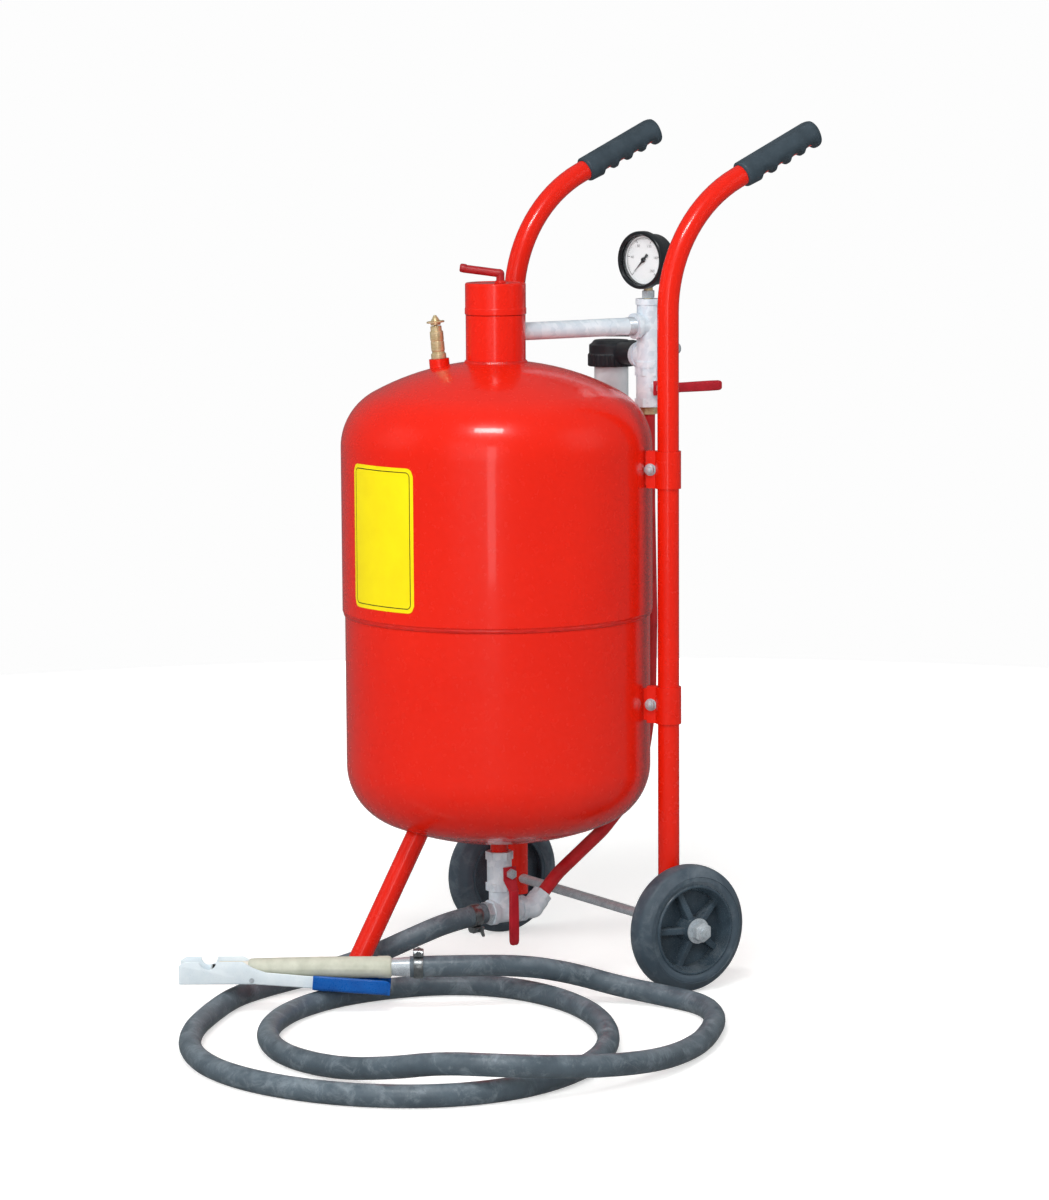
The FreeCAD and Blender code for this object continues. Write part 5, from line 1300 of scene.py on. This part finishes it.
@dataclass
class Gauge:
    """Pressure gauge: rolled case, printed dial with its scale, needle, lens and bezel."""

    radius: float = 35.0
    half: float = 17.0
    turn: float = 15.0
    start: float = 225.0
    sweep: float = 270.0
    numerals: tuple[str, ...] = ("0", "40", "80", "120", "160", "200")

    def build(self, frame: dict) -> None:
        """Build every piece of the gauge."""
        turn = math.radians(self.turn)
        self.out = Vector((math.sin(turn), -math.cos(turn), 0))
        lens = middle_of("gauge_lens")
        centre = Vector((lens.x, lens.y, lens.z)) - self.out * (self.half - 3.8)
        side = UP.cross(self.out)
        self.place = seat(centre, self.out, side)
        half = self.half
        radius = self.radius
        case = rounded([(0, -half), (radius - 9, -half, 2), (radius - 4.2, 3 - half, 4.5),
                        (radius - 3.5, half - 8, 0.4), (radius - 1.5, half - 8, 0.3),
                        (radius - 1.5, half - 5),
                        (radius - 5.5, half - 5), (radius - 5.5, 6 - half), (0, 6 - half)], 6, closed=False)
        drum = turned("gauge_drum", case, self.place, closed=False)
        drop = middle_of("gauge_lens").z - high_of("manifold_cross").z
        stem_place = seat(centre - UP * (drop + 1), UP, side)
        stem = turned("gauge_stem", rounded([(2.5, 0), (5.5, 0, 0.5), (5.5, 16, 0.5), (2.5, 16)]), stem_place,
                      steps=40)
        nut = pressed("gauge_stem_flats", six_sided(14.0), 9.0, seat(centre - UP * (drop - 1), UP, side), 0.8)
        fit(drum, Finishes.GAUGE_BLACK, "blaster", "gauge_case")
        fit(stem, Finishes.BRASS, "blaster")
        fit(nut, Finishes.PLATED, "blaster")
        rim = rounded([(radius - 1.4, half - 10, 0.4), (radius, half - 10, 0.8), (radius, half, 2.4),
                       (radius - 4, half, 1.0), (radius - 5.6, half - 2.7, 0.3), (radius - 1.4, half - 2.7)],
                      6)
        fit(turned("gauge_rim", rim, self.place), Finishes.GAUGE_BLACK, "blaster", "gauge_bezel")
        dress_node(frame, "gauge_dial", Finishes.DIAL)
        glass = rounded([(0, half - 4.8), (radius - 4.2, half - 4.8), (radius - 4.2, half - 3.4, 0.5),
                         (radius * 0.5, half - 2.9, 20), (0, half - 2.8)], 6, closed=False)
        fit(turned("gauge_glass", glass, self.place, closed=False), Finishes.LENS, "blaster", "gauge_lens")
        self.scale()
        self.needle()

    def on_dial(self, share: float, reach: float) -> Vector:
        """A point on the dial at a share of the scale and a distance from its middle."""
        angle = math.radians(self.start - self.sweep * share)
        return Vector((reach * math.cos(angle), reach * math.sin(angle), self.half - 8.95))

    def scale(self) -> None:
        """Ticks, numbers and the scale's arc."""
        divisions = 50
        points: list[Vector] = []
        faces: list[tuple[int, ...]] = []
        for number in range(divisions + 1):
            major = number % 10 == 0
            inner = 22.5 if major else (24.0 if number % 5 == 0 else 24.8)
            width = 0.45 if major else 0.22
            start = self.on_dial(number / divisions, inner)
            end = self.on_dial(number / divisions, 26.6)
            aside = Vector((-(end - start).y, (end - start).x, 0)).normalized() * width
            first = len(points)
            points += [start - aside, end - aside, end + aside, start + aside]
            faces.append((first, first + 1, first + 2, first + 3))
        for number in range(120):
            first = len(points)
            points += [self.on_dial(number / 120, 26.4), self.on_dial((number + 1) / 120, 26.4),
                       self.on_dial((number + 1) / 120, 26.9), self.on_dial(number / 120, 26.9)]
            faces.append((first, first + 1, first + 2, first + 3))
        fit(mesh_piece("dial_scale", points, faces, self.place), Finishes.INK, "blaster")
        for number, text in enumerate(self.numerals):
            data = bpy.data.curves.new(f"dial_number_{text}", "FONT")
            data.body = text
            data.size = 4.6 * MM
            data.align_x = "CENTER"
            data.align_y = "CENTER"
            figure = bpy.data.objects.new(f"dial_number_{text}", data)
            bpy.context.scene.collection.objects.link(figure)
            at = self.on_dial(number / (len(self.numerals) - 1), 18.6)
            spot = self.place @ Matrix.Translation(at + Vector((0, 0, 0.04)))
            spot.translation *= MM
            figure.matrix_world = spot
            fit(figure, Finishes.INK, "blaster")

    def needle(self) -> None:
        """A tapered needle with a broad tail, on its hub, resting at zero."""
        outline = rounded([(21.5, 0.0, 0), (2.0, 1.15, 0), (-4.0, 1.3, 0.5), (-9.5, 2.2, 1.4),
                           (-9.5, -2.2, 1.4),
                           (-4.0, -1.3, 0.5), (2.0, -1.15, 0)], 4)
        lying = self.place @ Matrix.Translation((0, 0, self.half - 7.9)) @ Matrix.Rotation(
            math.radians(self.start), 4, "Z")
        blade = pressed("needle_blade", outline, 0.7, lying, 0.15)
        hub = turned("needle_hub", rounded([(0, 2.0), (1.6, 2.0, 0.6), (3.1, 1.1, 0.5), (3.1, -0.3, 0.3),
                                            (0, -0.3)],
                                           4, closed=False), lying, closed=False, steps=40)
        fit(joined("gauge_pointer", [blade, hub]), Finishes.INK, "needle", "gauge_needle")


@dataclass
class Manifold:
    """Neck pipe, column of fittings, water filter, inlet valve and air plug."""

    filter_radius: float = 29.0
    bowl_radius: float = 21.0
    bowl_length: float = 66.0
    branch_rise: float = 17.0
    port_to_column: float = 58.0
    port_to_inlet: float = 34.0
    recess: float = 14.0
    inlet_half: float = 16.0
    lever_reach: float = 112.0
    lever_bearing: float = 225.0

    def build(self, frame: dict) -> None:
        """Dress the fittings and build the filter and inlet valve."""
        for node in ("neck_pipe", "manifold_cross", "inlet_valve_body"):
            dress_node(frame, node, Finishes.GALVANISED)
        dress_node(frame, "air_inlet_plug", Finishes.PLATED)
        dress_node(frame, "filter_element", Finishes.FELT)
        self.threads()
        self.filter()
        self.handle()

    def threads(self) -> None:
        """The last turns of pipe thread that show at the cross."""
        mouth = low_of("manifold_cross").y
        pipe = middle_of("neck_pipe")
        outline: Outline = []
        for number in range(6):
            outline += [(10.5, 1.8 * number), (11.1, 1.8 * number + 0.9)]
        outline.append((10.5, 10.8))
        place = seat(Vector((pipe.x, mouth, pipe.z)), -BACK, UP)
        fit(turned("neck_pipe_thread", outline, place, closed=False), Finishes.PLATED, "blaster")

    def filter(self) -> None:
        """Ribbed head with its two ports, and the milky bowl with a drain screw."""
        head = middle_of("filter_bowl")
        top = high_of("filter_head").z
        low = low_of("filter_head").z
        radius = self.filter_radius
        inside = self.bowl_radius + 0.2
        tall = top - low
        ribs = 26

        def ribbed(out: float, height: float, angle: float) -> tuple[float, float]:
            """Grip ribs round the lower collar of the head."""
            if out > radius - 0.6 and height < 16:
                return out - 0.9 * max(0.0, math.sin(angle * ribs)), height
            return out, height

        place = seat(Vector((head.x, head.y, low)))
        shell = rounded([(inside, 0, 0.3), (radius, 0, 1.2), (radius, 14, 0.6), (radius - 1.6, 16, 0.8),
                         (radius - 1.6, tall - 6, 1.0), (radius - 4.5, tall - 4, 1.5),
                         (radius - 8, tall, 2.0),
                         (0, tall), (0, self.recess), (inside, self.recess)], 5)
        body = turned("filter_head_shell", shell, place, steps=312, shape=ribbed)
        level = Vector((head.x, head.y, low + self.branch_rise))
        ports = [self.port(name, seat(level, out, UP), reach) for name, out, reach in (
            ("filter_port_out", ACROSS, self.port_to_column), ("filter_port_in", BACK, self.port_to_inlet))]
        fit(joined("filter_head_moulding", [body, *ports]), Finishes.FILTER_HEAD, "blaster", "filter_head")
        bowl_top = self.recess - 2.5
        end = -self.bowl_length
        glass = rounded([(self.bowl_radius, bowl_top), (self.bowl_radius, 12 + end, 9.0),
                         (self.bowl_radius - 9, end, 5.0), (4.0, end, 1.0), (4.0, end - 6, 0.8), (0, end - 6),
                         (0, end + 2.2), (self.bowl_radius - 10, end + 2.2, 4.0),
                         (self.bowl_radius - 2.2, 13 + end, 7.0), (self.bowl_radius - 2.2, bowl_top)], 6)
        fit(turned("filter_bowl_moulding", glass, place), Finishes.BOWL, "blaster", "filter_bowl")
        drain = turned("bowl_drain_knob", rounded([(0, end - 9), (4.6, end - 9, 1.0), (4.6, end - 4, 1.0),
                                                   (0, end - 4)], 4, closed=False), place, closed=False,
                       steps=48)
        fit(drain, Finishes.FILTER_HEAD, "blaster")

    def port(self, name: str, place: Matrix, reach: float) -> bpy.types.Object:
        """A threaded boss that stands out of the filter's head along the place's Z."""
        start = self.filter_radius - 8
        outline = rounded([(7.0, start), (13.5, start), (13.5, reach, 1.2), (9.8, reach, 0.6),
                           (9.8, reach - 8), (7.0, reach - 8)], 4)
        return turned(name, outline, place, steps=56)

    def handle(self) -> None:
        """The inlet valve's long lever on its stem, with its ball."""
        plug = middle_of("air_inlet_plug")
        centre = Vector((plug.x, high_of("inlet_valve_body").y - self.inlet_half, plug.z))
        place = seat(centre)
        ball = turned("inlet_ball", [(9.0 * math.cos(math.radians(angle)),
                                      9.0 * math.sin(math.radians(angle)))
                                     for angle in range(-52, 53, 8)] + [(5.5, 7.1), (5.5, -7.1)],
                      seat(centre, BACK, UP), steps=48)
        top = high_of("inlet_valve_handle").z - plug.z
        under = top - 5.0
        stem = turned("inlet_stem", rounded([(0, 7), (3.0, 7), (3.0, under), (8.0, under, 0.6),
                                             (8.0, top - 0.4, 1.2), (0, top - 0.4)], 4, closed=False),
                      place, closed=False, steps=48)
        fit(joined("inlet_ball_and_stem", [ball, stem]), Finishes.PLATED, "inlet_handle",
            "inlet_valve_handle")
        reach = self.lever_reach
        paddle = rounded([(-9.0, -8.5, 6), (8.0, -8.5, 5), (22.0, -5.5, 9), (reach - 30, -7.5, 12),
                          (reach, -6.5, 5), (reach, 6.5, 5), (reach - 30, 7.5, 12), (22.0, 5.5, 9),
                          (8.0, 8.5, 5),
                          (-9.0, 8.5, 6)], 5)
        swung = place @ Matrix.Translation((0, 0, under)) @ Matrix.Rotation(math.radians(self.lever_bearing),
                                                                            4, "Z")
        lever = pressed("inlet_lever", paddle, 4.8, swung, 1.3)
        fit(lever, Finishes.FILTER_HEAD, "inlet_handle")


class Rest(Enum):
    """How a valve's lever points when the blaster rests."""

    SHUT_TO_THE_BACK = 1
    OPEN_DOWNWARD = 2


@dataclass
class BallValve:
    """A half-inch ball valve with its stepped steel lever and vinyl sleeve."""

    name: str
    rest: Rest
    near: float = 21.5
    step: float = 8.0
    length: float = 86.0
    width: float = 12.0

    def build(self, frame: dict) -> None:
        """Dress the valve's nodes and build its lever."""
        dress_node(frame, f"{self.name}_valve_body", Finishes.GALVANISED)
        dress_node(frame, f"{self.name}_valve_ball", Finishes.PLATED)
        dress_node(frame, f"{self.name}_valve_nut", Finishes.PLATED)
        body = middle_of(f"{self.name}_valve_body")
        ball = middle_of(f"{self.name}_valve_lever")
        height = middle_of(f"{self.name}_valve_nut").z
        along = BACK if self.rest is Rest.SHUT_TO_THE_BACK else -UP
        centre = Vector((0.0, body.y, height))
        self.strap(seat(centre, along, ACROSS), f"{self.name}_lever", abs(ball.x))

    def strap(self, place: Matrix, body: str, reach: float) -> None:
        """The stepped strap and the sleeve that is pushed over it."""
        near = self.near
        far = near + self.step
        thick = 2.6
        centre_line = [(near + thick / 2, -8.0), (near + thick / 2, 8.0), (far + 1.8, 20.0),
                       (far + 2.5, 30.0), (far + 2.5, self.length - 4)]
        widths = [8.8, 8.6, 6.5, 5.2, 5.0]
        rings = []
        for (x, z), half in zip(centre_line, widths):
            section = rounded([(-thick / 2, -half, 0.5), (thick / 2, -half, 0.5), (thick / 2, half, 0.5),
                               (-thick / 2, half, 0.5)], 2)
            rings.append([Vector((x + out, across, z)) for out, across in section])
        steel = lofted(f"{self.name}_lever_strap", rings, place)
        washer = turned(f"{self.name}_lever_washer", rounded([(3.6, near + thick), (7.0, near + thick, 0.3),
                                                              (7.0, near + thick + 0.9, 0.3),
                                                              (3.6, near + thick + 0.9)], 2),
                        place @ seat(Vector((0, 0, 0)), ACROSS, UP), steps=40)
        fit(joined(f"{self.name}_lever_steel", [steel, washer]), Finishes.LEVER_VINYL, body,
            f"{self.name}_valve_lever")
        half = self.width / 2
        stations = [(19.0, 0.84), (19.8, 0.94), (22.0, 0.98), (34.0, 1.0), (50.0, 1.03), (68.0, 1.05),
                    (self.length - 5, 1.02), (self.length - 2.2, 0.92), (self.length - 0.6, 0.72),
                    (self.length, 0.45)]
        rings = []
        for z, share in stations:
            x = far + 2.5 - 1.0 * max(0.0, (30.0 - z) / 11.0)
            section = rounded([(-3.0, -half, 2.2), (3.0, -half, 2.2), (3.0, half, 2.2), (-3.0, half, 2.2)], 5)
            rings.append([Vector((x + out * share, across * share, z)) for out, across in section])
        sleeve = lofted(f"{self.name}_lever_sleeve", rings, place)
        fit(sleeve, Finishes.LEVER_VINYL, body)


@dataclass
class LowerFittings:
    """Mixing tee, hose barb, air elbow and the barb under the air valve."""

    def build(self, frame: dict) -> None:
        """Dress the fittings under the tank."""
        for node in ("mixing_tee", "air_hose_elbow"):
            dress_node(frame, node, Finishes.GALVANISED)
        dress_node(frame, "tee_hose_barb", Finishes.PLATED)
        dress_node(frame, "air_hose_barb", Finishes.BRASS)


# ---------------------------------------------------------------- hand truck

@dataclass
class Grip:
    """Moulded hand grip: flat top panel, four finger notches underneath and a hooked end."""

    radius: float = 16.0
    length: float = 118.0
    bend: float = 65.0
    notch_start: float = 20.0
    notch_pitch: float = 23.0
    notch_depth: float = 5.2
    mouth_share: float = 0.80
    mouth_depth: float = 6.0
    steps: int = 118
    sides: int = 72

    def build(self, side: str, frame: dict) -> None:
        """Skin the grip over the end of an upright.

        Args:
            side: left or right.
            frame: the loaded frame.
        """
        lean = math.radians(self.bend)
        out = Vector((0, math.sin(lean), math.cos(lean)))
        down = Vector((0, math.cos(lean), -math.sin(lean)))
        high = high_of(f"{side}_grip")
        low = low_of(f"{side}_grip")
        across = (high.x + low.x) / 2
        foot = Vector((across, low.y + self.radius * math.cos(lean), 0))
        foot.z = high.z - self.radius * math.sin(lean) - self.length * math.cos(lean)
        place = seat(foot, out, down)
        rings = []
        for step in range(self.steps + 1):
            along = self.length * step / self.steps
            rings.append([Vector((*self.section(along, 2 * math.pi * turn / self.sides), along))
                          for turn in range(self.sides)])
        share = self.mouth_share
        mouth = [Vector((point.x * share, point.y * share, 0.0)) for point in rings[0]]
        inside = [Vector((point.x * share, point.y * share, self.mouth_depth)) for point in rings[0]]
        body = lofted(f"{side}_grip_moulding", [inside, mouth, *rings], place, capped=True)
        fit(body, Finishes.GRIP, "blaster", f"{side}_grip")

    def section(self, along: float, turn: float) -> tuple[float, float]:
        """A point of the grip's section; a turn of zero looks to the underside."""
        radius = self.radius
        ends = min(along, self.length - along)
        rim = 1.0 - 0.16 * max(0.0, 1 - ends / 3.0) ** 2
        if self.length - along < 9:
            rim -= 0.20 * (1 - (self.length - along) / 9) ** 2
        under = max(0.0, math.cos(turn)) ** 1.5
        phase = (along - self.notch_start) / self.notch_pitch
        notch = 0.0
        if 0 <= phase <= 4:
            local = phase - math.floor(phase)
            notch = self.notch_depth * math.sin(math.pi * min(1.0,
                                                              local * 1.15)) ** 0.9 if local < 0.87 else 0.0
        hook = 3.2 * max(0.0, (along - (self.length - 14)) / 14)
        ridge = 2.0 * under if self.notch_start <= along else 2.0 * under * along / self.notch_start
        reach = radius * rim - notch * under + hook * under + ridge * (0.6 if notch < 1 else 0.3)
        x, y = reach * math.cos(turn), reach * math.sin(turn)
        top = -radius * 0.86
        if x < top:
            x = top + (x - top) * 0.25
            if 14 < along < self.length - 20 and abs(y) < 5.5:
                x += 0.7
        return x, y


@dataclass
class Wheel:
    """Moulded wheel with five ribs, and its solid tyre."""

    radius: float = 76.2
    rim: float = 54.0
    width: float = 38.0
    hub: float = 14.0
    hub_width: float = 44.0
    bore: float = 6.06
    spokes: int = 5

    def build(self, side: str) -> None:
        """Build a wheel and its tyre.

        Args:
            side: left or right.
        """
        centre = middle_of(f"{side}_tyre")
        out = ACROSS if side == "right" else -ACROSS
        place = seat(centre, out, UP)
        body = f"{side}_road_wheel"
        half = self.width / 2
        tread = self.radius
        tyre = rounded([(self.rim, -half + 2), (self.rim + 4, -half + 0.5, 2), (tread - 13, -half, 7),
                        (tread - 1.6, -half + 9, 8), (tread, 0, 60), (tread - 1.6, half - 9, 8),
                        (tread - 13, half, 7), (self.rim + 9.5, half - 0.2, 0.6),
                        (self.rim + 8.7, half - 1.1, 0.4),
                        (self.rim + 7.9, half - 0.3, 0.6), (self.rim + 4, half - 0.3, 2),
                        (self.rim, half - 2)], 8)
        fit(turned(f"{side}_tyre_moulding", tyre, place, steps=144), Finishes.TYRE, body, f"{side}_tyre")
        self.centre(side, place, body)

    def centre(self, side: str, place: Matrix, body: str) -> None:
        """The moulded centre: rim, dished web, boss and ribs."""
        rim = self.rim
        half = self.width / 2
        ring = rounded([(rim, -half + 2, 0.6), (rim, half - 2, 0.6), (rim - 1.5, half - 0.5, 0.8),
                        (rim - 3.5, half - 0.5, 1.2), (rim - 8.5, half - 12, 3), (rim - 9.5, -1.0, 2),
                        (rim - 5, -6, 2), (rim - 5, -half + 2, 0.8)], 5)
        parts = [turned(f"{side}_rim", ring, place, steps=128)]
        web = rounded([(self.hub - 1, -6), (rim - 3, -6), (rim - 3, -1), (self.hub - 1, -1)])
        parts.append(turned(f"{side}_web", web, place, steps=96))
        boss_end = self.hub_width / 2
        boss = rounded([(self.bore, -boss_end, 0.4), (self.hub, -boss_end, 1), (self.hub + 1.5, -4, 2),
                        (self.hub + 1.5, 2, 2), (self.hub, boss_end, 1.4), (self.bore, boss_end, 0.4)], 4)
        parts.append(turned(f"{side}_boss", boss, place, steps=64))
        for number in range(self.spokes):
            turn = Matrix.Rotation(math.radians(90 + number * 360 / self.spokes), 4, "Z")
            rib = rounded([(self.hub - 2, -2.0), (rim - 5, -2.0), (rim - 5, half - 12, 2),
                           (rim - 14, half - 11, 6),
                           (self.hub + 8, boss_end - 8, 6), (self.hub - 2, boss_end - 5)], 5)
            upright = place @ turn @ Matrix.Translation((0, 4.2, 0)) @ Matrix.Rotation(math.radians(90), 4,
                                                                                       "X")
            parts.append(pressed(f"{side}_rib_{number}", rib, 8.4, upright, 1.6))
        fit(joined(f"{side}_wheel_centre", parts), Finishes.HUB, body, f"{side}_wheel")


@dataclass
class HandTruck:
    """Uprights with grips, straps with their bolts, leg, axle and wheels."""

    upright_x: float = 165.0
    upright_back: float = 133.2
    bolt_reach: float = 191.6
    strap_outside: float = 4.95

    def build(self, frame: dict, axis: Vector) -> None:
        """Dress the truck's tubes and build its grips, bolts and wheels."""
        for node in ("left_upright", "right_upright", "front_leg", "upright_straps"):
            dress_node(frame, node, Finishes.ENAMEL)
        dress_node(frame, "axle", Finishes.PLATED)
        for side in ("left", "right"):
            Grip().build(side, frame)
            Wheel().build(side)
        self.bolts(axis)
        self.axle_ends()

    def bolts(self, axis: Vector) -> None:
        """Hexagon bolts with washers and nuts through the straps' ears."""
        parts = []
        bearing = math.atan2(self.upright_back, self.upright_x)
        for height in sorted(round(self.strap_height(level), 1) for level in ("low", "high")):
            for side in (-1, 1):
                around = bearing if side > 0 else math.pi - bearing
                radial = Vector((math.cos(around), math.sin(around), 0))
                sideways = UP.cross(radial)
                centre = axis + radial * self.bolt_reach + UP * height
                front = -1 if side > 0 else 1
                for way, name in ((front, "head"), (-front, "nut")):
                    out = sideways * way
                    tag = f"{name}_{side}_{int(height)}"
                    washer = rounded([(3.1, 0.1), (7.2, 0.1, 0.2), (7.2, 1.3, 0.4), (3.1, 1.3)], 2)
                    place = seat(centre + out * self.strap_outside, out, UP)
                    parts.append(turned(f"washer_{tag}", washer, place, steps=40))
                    lifted = place @ Matrix.Translation((0, 0, 1.3))
                    parts.append(pressed(f"flats_{tag}", six_sided(10.0), 4.6, lifted, 0.9))
                    dome = rounded([(0, 4.4), (3.6, 4.4, 0.3), (3.2, 6.0, 1.2), (0, 6.6)], 4, closed=False)
                    parts.append(turned(f"end_{tag}", dome, lifted, closed=False, steps=32))
        fit(joined("strap_bolts", parts), Finishes.PLATED, "blaster", "strap_fasteners")

    def strap_height(self, which: str) -> float:
        """The height of the lower or upper pair of straps, from the straps' own box."""
        half = 22.0
        return low_of("upright_straps").z + half if which == "low" else high_of("upright_straps").z - half

    def axle_ends(self) -> None:
        """Washers and chamfered nuts on the axle."""
        parts = []
        centre = middle_of("axle")
        for side in (-1, 1):
            wheel = middle_of("right_tyre" if side > 0 else "left_tyre")
            out = ACROSS * side
            inner = seat(Vector((wheel.x - side * 24.0, centre.y, centre.z)), out, UP)
            parts.append(turned(f"inner_washer_{side}", rounded([(6.1, 0, 0.2), (14, 0, 0.3), (14, 1.5, 0.3),
                                                                 (6.1, 1.5, 0.2)], 2), inner, steps=48))
            outer = seat(Vector((wheel.x + side * 22.5, centre.y, centre.z)), out, UP)
            parts.append(turned(f"outer_washer_{side}", rounded([(6.1, 0, 0.2), (15, 0, 0.4), (15, 2, 0.6),
                                                                 (6.1, 2, 0.2)], 2), outer, steps=48))
            nut_place = outer @ Matrix.Translation((0, 0, 2.0))
            parts.append(pressed(f"axle_nut_{side}", six_sided(21.0), 10.5, nut_place, 1.2))
            cup = rounded([(0, 10.2), (9.4, 10.2, 0.5), (8.6, 11.8, 1.5), (6.2, 12.6, 0.6), (0, 12.6)], 3,
                          closed=False)
            parts.append(turned(f"axle_nut_face_{side}", cup, nut_place, closed=False, steps=48))
        fit(joined("axle_nuts_and_washers", parts), Finishes.PLATED, "blaster", "axle_fasteners")


# ---------------------------------------------------------------- the whole blaster

@dataclass
class Blaster:
    """The whole object and its studio."""

    studio: Studio = field(default_factory=Studio)
    hoses: Hoses = field(default_factory=Hoses)
    nozzle: Nozzle = field(default_factory=Nozzle)
    tank: Tank = field(default_factory=Tank)
    relief: SafetyValve = field(default_factory=SafetyValve)
    gauge: Gauge = field(default_factory=Gauge)
    manifold: Manifold = field(default_factory=Manifold)
    lower: LowerFittings = field(default_factory=LowerFittings)
    truck: HandTruck = field(default_factory=HandTruck)

    def build(self, frame: dict) -> None:
        """Build every sub-assembly in order.

        Args:
            frame: the loaded frame.
        """
        neck = middle_of("cap_gasket")
        axis = Vector((neck.x, neck.y, 0))
        self.studio.build(axis.y)
        on_hose = self.nozzle.build(frame)
        self.hoses.build(frame, axis, on_hose)
        self.tank.build(frame, axis)
        self.relief.build(axis)
        self.gauge.build(frame)
        self.manifold.build(frame)
        BallValve("air", Rest.SHUT_TO_THE_BACK).build(frame)
        BallValve("media", Rest.OPEN_DOWNWARD).build(frame)
        self.lower.build(frame)
        self.truck.build(frame, axis)


def main() -> None:
    """Load the frame and build the blaster."""
    logging.basicConfig(level=logging.INFO, format="%(message)s")
    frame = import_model()
    Blaster().build(frame)


if __name__ == "__main__":
    main()
